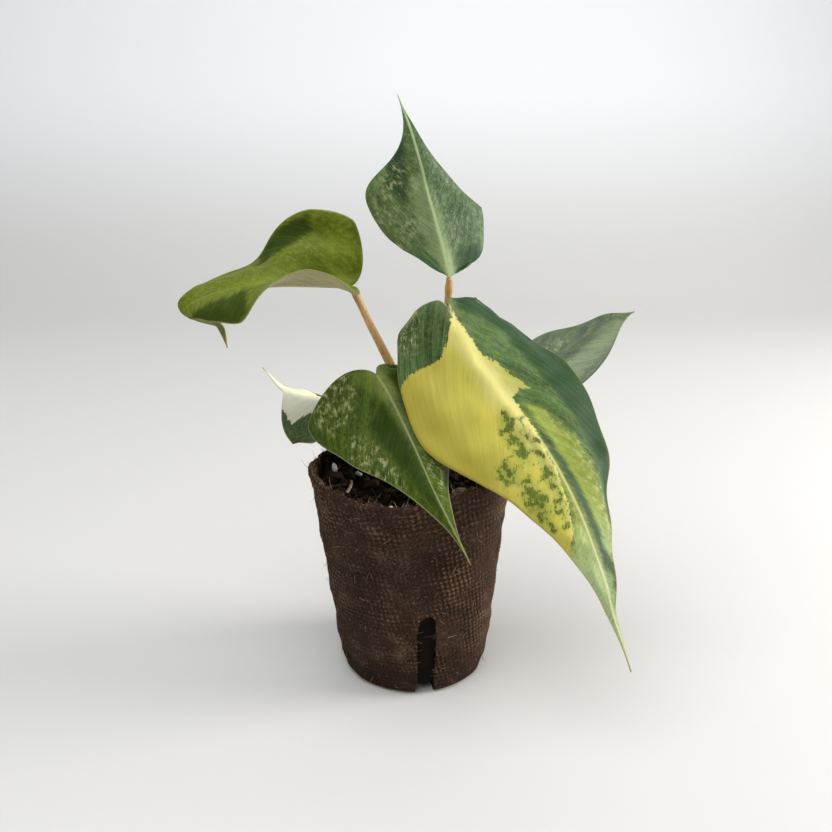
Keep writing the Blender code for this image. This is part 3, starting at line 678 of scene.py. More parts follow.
@once
def upper_material(name, look, seed):
    """Waxy upper face of a blade: streaked greens, patches of variegation with ragged edges, veins,
    a pale midrib and a thin margin. Some soft patches are painted light: a sheen on the right blade
    and shade on the lobe of the top blade."""
    shader = Shader(name)
    across, along, vein = shader.parts(shader.attribute("place"))
    gold, fleck, edge = shader.parts(shader.attribute("patches"))
    spot, light, deep = shader.parts(shader.attribute("streaks"))
    out = abs(across)

    def grain(x, y, layer, detail, roughness=0.5, scale=1.0):
        """Noise over the blade, stretched across it and along it or its veins. Each layer is its own."""
        return shader.grain(shader.vector(x, y, seed + layer), scale, detail, Roughness=roughness)

    streaks = grain(across * 0.10, vein * 1.0, 0, 5)
    broad = grain(across * 0.06, vein * 0.25, 3, 3)
    blots = grain(across * 0.55, along * 0.42, 6, 6, 0.68)
    cells = grain(across, along, 0, 4, 0.65, 3.2)
    specks = grain(across * 0.7, vein * 1.5, 9, 5, 0.66)
    fine = grain(across * 0.25, vein * 2.6, 17, 5, 0.7)
    mottle = grain(across * 0.8, along * 0.6, 14, 6, 0.7)
    clouds = grain(across * 0.42, along * 0.34, 11, 6, 0.6)
    tint = shader.mix((broad + (streaks - 0.5) * 0.4).step(0.34, 0.68), look["dark"], look["green"])
    warm = (across + (broad - 0.5) * 8).step(1.0, -4.0) * look["warm"]
    glow = (out + (fine - 0.5) * 9 + (mottle - 0.5) * 3 + along * 0.085).step(3.8, 0.0)
    for share, shade in (
        (warm, "warm_green"),
        (streaks.step(0.50, 0.80) * look["streak"], "light"),
        (cells.step(0.45, 0.75) * 0.22, "light"),
        (cells.step(0.50, 0.30) * 0.35, "dark"),
        (mottle.step(0.44, 0.66) * look["mottle"], "light"),
        (fine.step(0.51, 0.72) * 0.34, "light"),
        (fine.step(0.50, 0.32) * 0.40, "dark"),
        (glow * look["rib_glow"], "rib"),
    ):
        tint = tint.mix(share, look[shade])
    # On the right blade the light patch mixed in here is a painted sheen.
    soft = (light + (streaks - 0.5) * 1.6 + (blots - 0.5) * 4).step(-2.2, 1.4)
    late = along.step(0.56 * look["length"], 0.78 * look["length"])
    pale = shader.mix(late, look["light"], look["late"])
    tint = tint.mix(soft * (0.80 + (streaks - 0.5) * 0.5) * look["soft"], pale)
    tint = tint.mix(soft * specks.step(0.52, 0.62) * 0.5, look["green"])
    # On the top blade the first deep patch, darkened here, is painted shade on its folded lobe.
    dim = (deep + (streaks - 0.5) * 4 + (broad - 0.5) * 3).step(-1.1, 1.1)
    tint = tint.mix(dim * 0.85, look["deep"])
    tint = tint.mix(dim * streaks.step(0.52, 0.75) * 0.35, look["green"])
    flecked = (blots * 0.5 + specks * 0.35 + fine * 0.15).step(0.49, 0.59) * fleck.step(-2.0, 1.6)
    tint = tint.mix(flecked * 0.72, look["fleck"])
    ragged = gold + (blots - 0.5) * 3.4 + (specks - 0.5) * 1.4 + (streaks - 0.5) * 2.0
    solid = ragged.step(-0.10, 0.10)
    shade = shader.mix(streaks.step(0.30, 0.75) * 0.25, look["gold"], look["gold_light"])
    shade = shade.mix((out + (broad - 0.5) * 16).step(4.0, 24.0) * 0.6, look["gold_deep"])
    near = (out + (broad - 0.5) * 5).step(6.5, 0.2) * 0.9
    shade = shade.mix(near, look["gold_light"])
    shade = shade.mix((spot + (clouds - 0.5) * 6).step(-1.4, 1.0) * 0.55, look["halo"])
    marks = spot * 0.30 + (clouds - 0.5) * 5.5 + (specks - 0.5) * 2.2
    shade = shade.mix(across.step(-0.3, -3.0) * 0.6, look["gold_dull"])
    spotted = marks.step(0.10, 0.75) * spot.step(-2.0, -0.6)
    shade = shade.mix(spotted * (0.45 + mottle * 0.8), look["spot"])
    tint = tint.mix(solid, shade)
    gap = (vein / look["vein_gap"]).math("PINGPONG", 0.5)
    lines = gap.step(0.06, 0.005) * out.step(0.3, 1.6) * edge.step(0.5, 3.0)
    tint = tint.mix(lines * look["vein_show"] * (1 - solid * 0.8), look["rib"])
    width = look["rib_width"] * (1.0 - 0.6 * along / look["length"])
    ribbed = out.step(width, 0.1) * (1 - solid * 0.75) * look["rib_show"]
    tint = tint.mix(ribbed, look["rib"])
    tint = tint.mix(edge.step(MARGIN_WIDTH, 0.06) * 0.5, look["margin"])
    tail = along.step(0.90 * look["length"], 1.02 * look["length"])
    tint = tint.mix(tail * 0.9, look["tail"])
    shader.set(Base_Color=tint, Roughness=look["rough"] + (cells - 0.5) * 0.18 + streaks * 0.08)
    shader.set(Specular_IOR_Level=look["gloss"])
    shader.bump(cells * 0.5 + fine * 0.35 - lines * 0.12, 0.00016)
    return shader.material


@once
def under_material(name, pale, dark, vein_gap, seed):
    """Matt underside of a blade, paler than the upper face, with raised veins."""
    shader = Shader(name)
    across, along, vein = shader.parts(shader.attribute("place"))
    streaks = shader.grain(shader.vector(across * 0.16, vein * 1.0, seed), 1.0, 5)
    cells = shader.grain(shader.vector(across, along, seed), 3.0, 4)
    gap = (vein / vein_gap).math("PINGPONG", 0.5)
    lines = gap.step(0.09, 0.02)
    tint = shader.mix(streaks.step(0.35, 0.65), dark, pale)
    tint = tint.mix(cells.step(0.40, 0.70) * 0.35, scaled(dark, 0.75))
    tint = tint.mix(lines * 0.35, scaled(pale, 1.25))
    tint = tint.mix(abs(across).step(0.9, 0.3) * 0.7, scaled(pale, 1.2))
    shader.set(Base_Color=tint, Roughness=0.52 + cells * 0.15, Specular_IOR_Level=0.35)
    shader.bump(lines * 0.7 + cells * 0.4, 0.0003)
    return shader.material


@once
def plain_material(name, floor, wall, roughness):
    """A painted stage surface, with a faint mottle, whiter as it rises."""
    shader = Shader(name)
    place = shader.object_place()
    cloud = shader.grain(place, 3.0, 3)
    tint = shader.mix(shader.parts(place)[2].step(0.0, 0.25), floor, wall)
    tint = tint.mix(cloud * 0.04, (0.5, 0.5, 0.5))
    shader.set(Base_Color=tint, Roughness=roughness)
    return shader.material


# ---------------------------------------------------------------- meshes

def add_mesh(name, points, faces, materials, attributes=None, slots=None):
    """A smooth mesh object from points in metres and faces of point numbers. An attribute has three
    numbers for each point, or one that stands for all three."""
    mesh = bpy.data.meshes.new(name)
    mesh.from_pydata(np.asarray(points, float).reshape(-1, 3).tolist(), [], faces)
    if len(mesh.polygons) != len(faces):
        raise RuntimeError(f"{name}: the mesh lost faces")
    for material in materials:
        mesh.materials.append(material)
    for key, values in (attributes or {}).items():
        values = np.asarray(values, np.float32)
        made = mesh.attributes.new(key, "FLOAT_VECTOR", "POINT")
        made.data.foreach_set("vector", np.repeat(values, 3) if values.ndim == 1 else values.ravel())
    if slots is not None:
        mesh.polygons.foreach_set("material_index", np.asarray(slots, np.int32))
    mesh.polygons.foreach_set("use_smooth", [True] * len(mesh.polygons))
    mesh.update()
    piece = bpy.data.objects.new(name, mesh)
    bpy.context.scene.collection.objects.link(piece)
    return piece


def settle(piece, slot, *nodes):
    """Hangs a finished piece on the root body and hides the solids that it stands for. The slot is not used.
    """
    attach(piece, "root")
    if nodes:
        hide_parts(*nodes)


def grid_faces(rows, columns, first=0, wrap=False):
    """Faces of a grid of points, row by row. A wrapped grid joins its last column to its first."""
    faces = []
    for row in range(rows - 1):
        for column in range(columns if wrap else columns - 1):
            following = (column + 1) % columns
            low = first + row * columns
            faces.append((low + column, low + following, low + columns + following, low + columns + column))
    return faces


def ring_faces(rings, around):
    """Faces of a closed tube of rings, with both ends capped."""
    faces = grid_faces(rings, around, wrap=True)
    faces.append(tuple(reversed(range(around))))
    faces.append(tuple((rings - 1) * around + step for step in range(around)))
    return faces


def tube_points(path, radii, around, steps):
    """Rings of points along a smooth path, with how far round and along each point is, in millimetres."""
    place = np.linspace(0, 1, steps)
    centre = spline(path, place)
    radius = spline(radii, place)[:, 0]
    tangent = unit(np.gradient(centre, axis=0))
    turn = np.linspace(0, math.tau, around, endpoint=False)
    run = run_along(centre)
    first = unit(np.cross(tangent[0], (0.31, 0.95, 0.05)))
    points = []
    wrap = []
    for middle, direction, wide, reach, part in zip(centre, tangent, radius, run, place):
        first = unit(first - direction * np.dot(first, direction))
        second = np.cross(direction, first)
        points.append(middle + (np.cos(turn)[:, None] * first + np.sin(turn)[:, None] * second) * wide)
        round_mm = np.sin(turn) * 2.2
        wrap.append(np.stack([round_mm, np.full(around, reach / MM), np.full(around, part)], -1))
    return np.array(points), np.array(wrap)


def swell(rings, depth):
    """Rings of a tube, moved outwards by a depth at each point."""
    return rings + unit(rings - rings.mean(axis=1, keepdims=True)) * depth[..., None]


def many(shape_points, shape_faces, count):
    """Faces for so many copies of a shape, one after another."""
    size = len(shape_points)
    return [tuple(spot + copy * size for spot in face) for copy in range(count) for face in shape_faces]


def icosphere(detail):
    shape = bmesh.new()
    bmesh.ops.create_icosphere(shape, subdivisions=detail, radius=1)
    points = np.array([vertex.co for vertex in shape.verts])
    faces = [tuple(vertex.index for vertex in face.verts) for face in shape.faces]
    shape.free()
    return points, faces


def hairs(name, starts, pushes, bends, lengths, thickness, material, rings=5, sides=3):
    """Many thin bent fibres in one mesh. Each leaves its start along its push and curves towards its bend."""
    starts, pushes, bends = (np.asarray(values, float) for values in (starts, pushes, bends))
    along = np.linspace(0, 1, rings)
    reach = lengths[:, None] * along
    path = starts[:, None] + pushes[:, None] * reach[..., None] + bends[:, None] * (reach * along)[..., None]
    tangent = unit(np.gradient(path, axis=1))
    first = unit(np.cross(tangent, (0.3, 0.2, 0.93)))
    second = np.cross(tangent, first)
    width = thickness[:, None] * (1 - 0.75 * along**2)
    turn = math.tau * np.arange(sides) / sides
    circle = first[:, :, None] * np.cos(turn)[:, None] + second[:, :, None] * np.sin(turn)[:, None]
    points = path[:, :, None] + circle * width[..., None, None]
    shape = np.zeros((rings * sides, 3))
    faces = many(shape, ring_faces(rings, sides), len(starts))
    tone = np.repeat(np.random.default_rng(len(starts)).uniform(0, 1, len(starts)), rings * sides)
    return add_mesh(name, points, faces, [material], {"tone": tone})


# ---------------------------------------------------------------- pot

def pot_radius(height):
    """Outer radius of the plain cone at a height."""
    return POT_BASE_RADIUS + (POT_TOP_RADIUS - POT_BASE_RADIUS) * height / POT_HEIGHT


def pot_place(radius, angle, height):
    """Points of the pot, which leans a little and isn't quite round."""
    part = height / POT_HEIGHT
    wide = radius * (1 + 0.006 * np.sin(2 * angle + 0.7) * part)
    return np.stack([wide * np.cos(angle) + POT_LEAN * part, wide * np.sin(angle), height + 0 * wide], -1)


def rim_rise(angle):
    """How much higher the rim stands than the pot's height at an angle, counted from +X."""
    closed = RIM_WAVE_MM + RIM_WAVE_MM[:1]
    return spline(closed, (angle / math.tau) % 1)[..., 0] * MM


def imprint(column, row):
    """The bumps left by the moulding screen, from -1 to 1, four grid steps apart and in rows that slant."""
    return 0.5 * (np.cos(math.pi / 2 * (column + 0.22 * row)) + np.cos(math.pi / 2 * (row - 0.03 * column)))


def slot_cutter(index, arch=12, steps=14):
    """A ragged arched door shape pushed through the wall and the edge of the floor."""
    angle = SLOT_FIRST_ANGLE + math.tau * index / SLOT_COUNT
    wide = SLOT_WIDTH / 2
    straight = SLOT_HEIGHT - wide
    shape = [(wide, -0.002 + (straight + 0.002) * step / steps) for step in range(steps)]
    for step in range(arch + 1):
        bend = math.pi * step / arch
        shape.append((wide * math.cos(bend), straight + wide * math.sin(bend)))
    shape += [(-wide, straight - (straight + 0.002) * step / steps) for step in range(1, steps + 1)]
    shape = np.array(shape)
    shape += 0.00022 * np.stack([rough(shape, 0.004, 60 + index), rough(shape, 0.004, 70 + index)], -1)
    out, aside = round_ways(np.array(angle))
    reaches = (POT_BASE_RADIUS - 0.006, POT_TOP_RADIUS + 0.004)
    points = [out * reach + aside * across + (0, 0, height) for reach in reaches for across, height in shape]
    return add_mesh(f"slot_cutter_{index}", points, ring_faces(2, len(shape)), [])


class PLANT_OT_pot(bpy.types.Operator):
    """Make the fibre pot: a wall with the imprint of a screen, a torn rim and drainage slots"""

    bl_idname = "plant.pot"
    bl_label = "Fibre pot"

    def execute(self, context):
        pot = context.scene.potted_plant.pot
        around = 4 * round(math.tau * pot_radius(POT_HEIGHT / 2) / pot.pitch)
        column = np.arange(around)
        angle = math.tau * column / around
        away, aside = round_ways(angle)
        wall = pot.wall
        rows = []
        relief = []

        def add_row(radius, height, follow, bumps):
            """One ring: follow is how much of the rim's height it takes, bumps how strong its relief is."""
            place = pot_place(radius, angle, height + follow * rise)
            lumps = 0.6 * noise(place, 0.009, 3) + 0.5 * noise(place, 0.0035, 4)
            screen = imprint(column, len(rows)) * np.clip(0.75 + 0.5 * noise(place, 0.008, 5), 0.1, 1.2)
            push = bumps * (pot.rough * lumps + pot.imprint * screen)
            sway = noise(place, 0.0045, 6) * 0.00022 * abs(bumps)
            rows.append(place + away * push[:, None] + aside * sway[:, None])
            relief.append(screen * abs(bumps) + 0.35 * lumps)

        edge = away[:, :2] * POT_TOP_RADIUS
        torn = rough(edge, 0.004, 11) * 0.5 + noise(edge, 0.0014, 15) * 0.35
        rise = rim_rise(angle) + pot.torn * (torn - 0.4)
        rows.append(pot_place(POT_BASE_RADIUS - BASE_ROUNDING - 0.004, angle, np.zeros(around)))
        relief.append(np.zeros(around))
        for bend in np.radians(np.linspace(-90, -8, 7)):
            out = POT_BASE_RADIUS - BASE_ROUNDING + BASE_ROUNDING * math.cos(bend)
            add_row(out, BASE_ROUNDING * (1 + math.sin(bend)), 0, 0.9 * math.cos(bend) ** 2)
        for height in np.arange(BASE_ROUNDING, POT_HEIGHT - 0.0015, pot.pitch / 4):
            follow = ease(height, 0.7 * POT_HEIGHT, POT_HEIGHT)
            add_row(pot_radius(height), height, float(follow), 1.0)
        lip = [(0.0, -0.0012, 1.0), (-0.12, -0.0005, 0.9), (-0.35, -0.0001, 0.8), (-0.62, 0.0, 0.8)]
        lip += [(-0.88, -0.0003, 0.8), (-1.0, -0.0010, 0.8)]
        for inset, drop, bumps in lip:
            add_row(pot_radius(POT_HEIGHT) + inset * wall, POT_HEIGHT + drop, 1.0, bumps)
        for height in np.linspace(0.95, 0.06, 14) * POT_HEIGHT:
            follow = ease(height, 0.7 * POT_HEIGHT, POT_HEIGHT)
            add_row(pot_radius(height) - wall, height, float(follow), 0.7)
        rows.append(pot_place(pot_radius(POT_FLOOR) - wall - 0.001, angle, np.full(around, POT_FLOOR)))
        relief.append(np.zeros(around))
        points = np.array(rows)
        points[..., 2] = np.maximum(points[..., 2], 0)
        wrap = np.zeros_like(points)
        wrap[..., 0] = np.abs((angle / math.pi) % 2 - 1) * math.pi * POT_TOP_RADIUS / MM
        wrap[..., 1] = points[..., 2] / MM
        wrap[..., 2] = np.array(relief)
        material = fibre_material("fibre", pot)
        piece = add_mesh("pot_wall", points, ring_faces(len(rows), around), [material], {"wrap": wrap})
        cutters = [slot_cutter(index) for index in range(SLOT_COUNT)]
        for cutter in cutters:
            boolean = piece.modifiers.new("slot", "BOOLEAN")
            boolean.operation = "DIFFERENCE"
            boolean.solver = "MANIFOLD"
            boolean.object = cutter
        finish_modifiers(piece)
        for cutter in cutters:
            bpy.data.objects.remove(cutter)
        settle(piece, "fibre", "fibre_pot")
        return {"FINISHED"}


def finish_modifiers(piece):
    """Puts the result of the modifiers into the mesh."""
    graph = bpy.context.evaluated_depsgraph_get()
    made = bpy.data.meshes.new_from_object(piece.evaluated_get(graph), depsgraph=graph)
    if not made.polygons:
        raise RuntimeError(f"{piece.name}: the modifiers left nothing")
    piece.modifiers.clear()
    piece.data = made


class PLANT_OT_pot_hairs(bpy.types.Operator):
    """Make the loose fibre ends that stand out of the pot's wall, rim and slots"""

    bl_idname = "plant.pot_hairs"
    bl_label = "Loose fibres"

    def execute(self, context):
        pot = context.scene.potted_plant.pot
        random = np.random.default_rng(21)
        count = pot.hairs
        angle = random.uniform(0, math.tau, count)
        height = random.uniform(0.002, POT_HEIGHT - 0.001, count)
        on_rim = random.uniform(size=count) < 0.30
        on_slot = ~on_rim & (random.uniform(size=count) < 0.06)
        height = np.where(on_rim, POT_HEIGHT + rim_rise(angle) - random.uniform(0, 0.0012, count), height)
        index = random.integers(0, SLOT_COUNT, count)
        side = random.choice([-1, 1], count)
        slot_angle = SLOT_FIRST_ANGLE + math.tau * index / SLOT_COUNT
        height = np.where(on_slot, random.uniform(0.001, SLOT_HEIGHT - 0.003, count), height)
        angle = np.where(on_slot, slot_angle + side * (SLOT_WIDTH / 2 + 0.0003) / pot_radius(height), angle)
        in_slot = np.zeros(count, bool)
        for place in range(SLOT_COUNT):
            turn = angle - SLOT_FIRST_ANGLE - math.tau * place / SLOT_COUNT
            off = (turn + math.pi) % math.tau - math.pi
            in_slot |= (np.abs(off) * pot_radius(height) < SLOT_WIDTH / 2) & (height < SLOT_HEIGHT)
        inset = np.where(on_rim, random.uniform(0.1, 0.8, count) * pot.wall, 0.0002)
        starts = pot_place(pot_radius(np.minimum(height, POT_HEIGHT)) - inset, angle, height)
        out, round_way = round_ways(angle)
        up = np.array([0, 0, 1.0])
        spin = random.uniform(0, math.tau, count)[:, None]
        lying = round_way * np.cos(spin) + up * np.sin(spin)
        stand = np.where(random.uniform(size=count) < 0.22, random.uniform(0.4, 1.2, count), 0.16)[:, None]
        pushes = unit(lying + out * stand)
        rim_way = up * random.uniform(0.2, 1.2, (count, 1)) + out * random.uniform(-0.6, 0.8, (count, 1))
        rim_way = unit(rim_way + round_way * random.normal(0, 0.6, (count, 1)))
        pushes = np.where(on_rim[:, None], rim_way, pushes)
        slot_way = -side[:, None] * round_way + out * random.uniform(-0.2, 0.6, (count, 1))
        pushes = np.where(on_slot[:, None], unit(slot_way), pushes)
        bends = unit(random.normal(size=(count, 3))) * random.uniform(0.1, 0.7, (count, 1))
        bends = np.where((on_rim | on_slot)[:, None], bends, bends * 0.4 + out * 0.03)
        reach = random.gamma(3.0, 0.00042, count).clip(0.0004, 0.0042)
        reach = np.where(on_rim, reach * 0.9, reach)
        thickness = random.uniform(0.00003, 0.00009, count)
        keep = ~in_slot | on_slot
        material = tinted_material("hair", pot.worn_and_highlit, pot.hair, 900, 0.7)
        values = (starts[keep], pushes[keep], bends[keep], reach[keep], thickness[keep])
        settle(hairs("pot_hairs", *values, material), "fibre")
        return {"FINISHED"}


# ---------------------------------------------------------------- soil

def soil_lumps():
    """Seeded small hills and hollows over the soil, the same as in the solid."""
    random = np.random.default_rng(5)
    lumps = []
    for _ in range(90):
        angle = random.uniform(0, math.tau)
        reach = POT_TOP_RADIUS * math.sqrt(random.uniform(0, 1))
        spread = random.uniform(0.0016, 0.0034)
        rise = SOIL_LUMP * random.uniform(-1.6, 1.6)
        lumps.append((reach * math.cos(angle), reach * math.sin(angle), spread, rise))
    return lumps


def soil_height(x, y):
    """Height of the soil at places: a level, a few heaps and hollows and many small lumps."""
    height = POT_HEIGHT - SOIL_DROP + 0 * x
    for place, rise, spread in HEAPS:
        height = height + rise * np.exp(-((x - place[0]) ** 2 + (y - place[1]) ** 2) / spread**2)
    for lump_x, lump_y, spread, rise in soil_lumps():
        height = height + rise * np.exp(-((x - lump_x) ** 2 + (y - lump_y) ** 2) / spread**2)
    return height


def soil_tint(soil):
    return tinted_material("soil", soil.humus, soil.crumb, 700, 0.8)


class PLANT_OT_soil(bpy.types.Operator):
    """Make the bed of soil that fills the pot"""

    bl_idname = "plant.soil"
    bl_label = "Soil bed"

    def execute(self, context):
        plant = context.scene.potted_plant
        around, rings = 150, 46
        angle = math.tau * np.arange(around) / around
        inside = plant.pot.wall + 0.0003
        rows = []
        for height in np.linspace(POT_FLOOR + 0.0003, POT_HEIGHT - SOIL_DROP - 0.004, 24):
            place = pot_place(pot_radius(height) - inside, angle, np.full(around, height))
            rows.append(place - 0.0005 * (1 + noise(place, 0.003, 30))[:, None] * unit(place * (1, 1, 0)))
        brim = pot_radius(POT_HEIGHT - SOIL_DROP) - inside - 0.0004
        for part in np.linspace(1, 0.015, rings):
            place = pot_place(brim * part, angle, np.full(around, POT_HEIGHT))
            clods = 0.0005 * rough(place[:, :2], 0.0022, 31, 4)
            place[:, 2] = soil_height(place[:, 0], place[:, 1]) + clods - (0.0012 if part == 1 else 0.0003)
            rows.append(place)
        points = np.array(rows).reshape(-1, 3)
        tone = (0.25 + 0.3 * noise(points, 0.003, 33)) * ease(points[:, 2], 0.045, 0.054) - 0.3
        faces = ring_faces(len(rows), around)
        piece = add_mesh("soil_bed", points, faces, [soil_tint(plant.soil)], {"tone": tone})
        settle(piece, "soil", "potting_soil")
        return {"FINISHED"}


class PLANT_OT_crumbs(bpy.types.Operator):
    """Make the loose crumbs, flakes and short fibres on top of the soil"""

    bl_idname = "plant.crumbs"
    bl_label = "Soil crumbs"

    def execute(self, context):
        soil = context.scene.potted_plant.soil
        random = np.random.default_rng(77)
        count = soil.crumbs
        ball, ball_faces = icosphere(2)
        angle = random.uniform(0, math.tau, count)
        reach = CRUMB_REACH * np.sqrt(random.uniform(0, 1, count))
        x, y = reach * np.cos(angle) + POT_LEAN, reach * np.sin(angle)
        big = random.gamma(2.2, 0.00042, count).clip(0.0003, 0.0024)
        big = np.where(reach > 0.025, np.minimum(big, 0.0011), big)
        for loose_x, loose_y, size, *_ in PERLITE + BARK:
            close = np.hypot(x - loose_x * MM, y - loose_y * MM) < 0.62 * max(size[:2]) * MM
            big = np.where(close, 0.0003, big)
        sizes = big[:, None] * random.uniform((0.5, 0.4, 0.3), (1.0, 0.85, 0.8), (count, 3))
        turns = unit(random.normal(size=(count, 4)))
        w, a, b, c = turns.T
        spin = np.array([
            [1 - 2 * (b * b + c * c), 2 * (a * b - w * c), 2 * (a * c + w * b)],
            [2 * (a * b + w * c), 1 - 2 * (a * a + c * c), 2 * (b * c - w * a)],
            [2 * (a * c - w * b), 2 * (b * c + w * a), 1 - 2 * (a * a + b * b)],
        ]).transpose(2, 0, 1)
        shapes = ball[None] * sizes[:, None]
        dents = noise(ball[None] * 1.0 + random.uniform(-40, 40, (count, 1, 3)), 0.9, 41, 12)
        shapes = shapes * (1 + 0.28 * dents)[..., None]
        middle = np.stack([x, y, soil_height(x, y) + sizes[:, 2] * random.uniform(-0.2, 0.8, count)], -1)
        points = np.einsum("nij,nkj->nki", spin, shapes) + middle[:, None]
        tone = np.repeat(random.beta(0.9, 2.6, count), len(ball))
        faces = many(ball, ball_faces, count)
        settle(add_mesh("soil_crumbs", points, faces, [soil_tint(soil)], {"tone": tone}), "soil")
        angle = random.uniform(0, math.tau, soil.threads)
        reach = THREAD_REACH * np.sqrt(random.uniform(0, 1, soil.threads))
        x, y = reach * np.cos(angle), reach * np.sin(angle)
        starts = np.stack([x, y, soil_height(x, y) + random.uniform(0.0002, 0.0012, soil.threads)], -1)
        pushes = unit(random.normal(size=(soil.threads, 3)) * (1, 1, 0.25))
        bends = random.normal(0, 0.4, (soil.threads, 3))
        lengths = random.uniform(0.001, 0.005, soil.threads)
        thickness = random.uniform(0.00005, 0.00016, soil.threads)
        material = tinted_material("thread", soil.crumb, soil.root, 900, 0.7)
        settle(hairs("soil_threads", starts, pushes, bends, lengths, thickness, material), "root")
        return {"FINISHED"}


def pebble(middle, size, turn, seed, detail):
    """Points and faces of a lump with the same dents as the solid one."""
    ball, faces = icosphere(detail)
    random = np.random.default_rng(seed)
    waves = random.normal(0, 1, (4, 3)) * 1.6
    phases = random.uniform(0, math.tau, 4)
    swell = 1 + 0.09 * np.sin(ball @ waves.T + phases).sum(1)
    shape = ball * np.array(size) / 2 * swell[:, None]
    x = shape[:, 0] * math.cos(turn) - shape[:, 1] * math.sin(turn)
    y = shape[:, 0] * math.sin(turn) + shape[:, 1] * math.cos(turn)
    return np.stack([x, y, shape[:, 2]], -1) + middle, faces


def loose_piece(kind, index, row, seed, material, carve):
    """A grain or chip, carved more finely than its solid."""
    x, y, size, turn, stand = row
    x, y = x * MM, y * MM
    middle = np.array([x, y, float(soil_height(np.array(x), np.array(y))) + stand * MM])
    points, faces = pebble(middle, np.array(size) * MM, math.radians(turn), seed + index, 5)
    depth = carve(points - middle, seed + index)
    points = points + unit(points - middle) * depth[:, None]
    node = f"{kind}_{index + 1}"
    settle(add_mesh(f"{node}_fine", points, faces, [material]), kind, node)


def perlite_carve(shape, seed):
    """Blisters and pits."""
    return 0.00008 * rough(shape, 0.0009, seed, 3) - 0.00012 * ease(noise(shape, 0.0005, seed + 9), 0.5, 1.2)


def bark_carve(shape, seed):
    """Flat steps between layers, and splintered ends."""
    layer = shape[:, 2] / 0.00055 + 0.8 * noise(shape, 0.003, seed)
    step = np.abs(layer % 1 - 0.5) * 2
    return 0.00016 * rough(shape, 0.0016, seed + 5, 3) - 0.00018 * ease(step, 0.75, 1.0)


class PLANT_OT_loose(bpy.types.Operator):
    """Make the perlite grains and the bark chips"""

    bl_idname = "plant.loose"
    bl_label = "Perlite and bark"

    def execute(self, context):
        soil = context.scene.potted_plant.soil
        white = perlite_material("perlite", soil.perlite)
        for index, row in enumerate(PERLITE):
            loose_piece("perlite", index, row, 11, white, perlite_carve)
        brown = bark_material("bark", soil.bark, soil.bark_inside)
        for index, row in enumerate(BARK):
            loose_piece("bark", index, row, 41, brown, bark_carve)
        return {"FINISHED"}


class PLANT_OT_roots(bpy.types.Operator):
    """Make the two thin roots that lie half sunk in the soil"""

    bl_idname = "plant.roots"
    bl_label = "Roots"

    def execute(self, context):
        soil = context.scene.potted_plant.soil
        for index, (name, path) in enumerate(ROOTS.items()):
            places = spline(path, np.linspace(0, 1, 9)) * MM
            height = soil_height(places[:, 0], places[:, 1]) + 0.4 * ROOT_RADIUS
            line = np.column_stack([places, height])
            radii = [ROOT_RADIUS * part for part in (0.7, 1.0, 1.0, 0.6)]
            points, wrap = tube_points(line, radii, 14, 80)
            points = points + 0.00009 * rough(points, 0.0014, 50 + index)[..., None] * (0.6, 0.6, 1)
            shades = [scaled(soil.root, shade) for shade in (0.6, 1.0, 1.4)]
            material = stalk_material("root", *shades)
            faces = ring_faces(*points.shape[:2])
            settle(add_mesh(f"{name}_fine", points, faces, [material], {"wrap": wrap}), "root", name)
        return {"FINISHED"}


# ---------------------------------------------------------------- plant

class PLANT_OT_stem(bpy.types.Operator):
    """Make the short knobbly stem, with the dry sheaths of old leaves"""

    bl_idname = "plant.stem"
    bl_label = "Stem"

    def execute(self, context):
        stalk = context.scene.potted_plant.stalk
        low = CROWN + np.array([-0.0005, -0.0005, -STEM_DEPTH])
        high = CROWN + np.array([0.0005, 0.0005, STEM_RISE])
        path = [low + (high - low) * part for part in (0, 0.33, 0.66, 1)]
        knobs = (0.55, 0.95, 1.0, 0.9, 1.03, 0.88, 1.0, 0.85, 0.6)
        points, wrap = tube_points(path, [STEM_RADIUS * knob for knob in knobs], 40, 110)
        rings = np.abs(np.sin(wrap[..., 1] * 1.15 + 0.5 * np.sin(wrap[..., 0])))
        depth = -0.00028 * ease(rings, 0.35, 0.0) + 0.00016 * rough(points, 0.002, 80)
        material = stalk_material("stem", stalk.scar, stalk.bark, stalk.bark)
        faces = ring_faces(*points.shape[:2])
        piece = add_mesh("short_stem", swell(points, depth), faces, [material], {"wrap": wrap})
        settle(piece, "stem", "stem")
        self.sheaths(stalk)
        return {"FINISHED"}

    def sheaths(self, stalk):
        """Papery pointed remains that clasp the stem."""
        material = tinted_material("sheath", stalk.scar, (0.52, 0.36, 0.26), 600, 0.6)
        points = []
        faces = []
        rows, columns = 16, 11
        for index, (turn, base, height) in enumerate(SHEATHS):
            up = np.linspace(0, 1, rows)[:, None]
            across = np.linspace(-1, 1, columns)[None]
            angle = turn + across * 0.95 * (1 - 0.85 * up**1.6)
            radius = STEM_RADIUS * (1.10 + 0.35 * up**2 + 0.10 * across**2)
            away = round_ways(angle)[0]
            sheet = CROWN + away * radius[..., None]
            sheet[..., 2] += (base + height * up) * MM - 0.0035
            sheet += 0.0002 * rough(sheet, 0.002, 90 + index)[..., None]
            inner = sheet - away * 0.00015
            first = len(points)
            points.extend(sheet.reshape(-1, 3))
            points.extend(inner.reshape(-1, 3))
            faces.extend(grid_faces(rows, columns, first))
            second = first + rows * columns
            faces.extend(face[::-1] for face in grid_faces(rows, columns, second))
            rim = [first + step for step in range(columns)]
            rim += [first + row * columns + columns - 1 for row in range(1, rows)]
            rim += [first + (rows - 1) * columns + step for step in range(columns - 2, -1, -1)]
            rim += [first + row * columns for row in range(rows - 2, 0, -1)]
            size = rows * columns
            for one, two in zip(rim, rim[1:] + rim[:1]):
                faces.append((two, one, one + size, two + size))
        tone = 0.5 + 0.4 * noise(np.array(points), 0.002, 95)
        settle(add_mesh("stem_sheaths", points, faces, [material], {"tone": tone}), "stem")


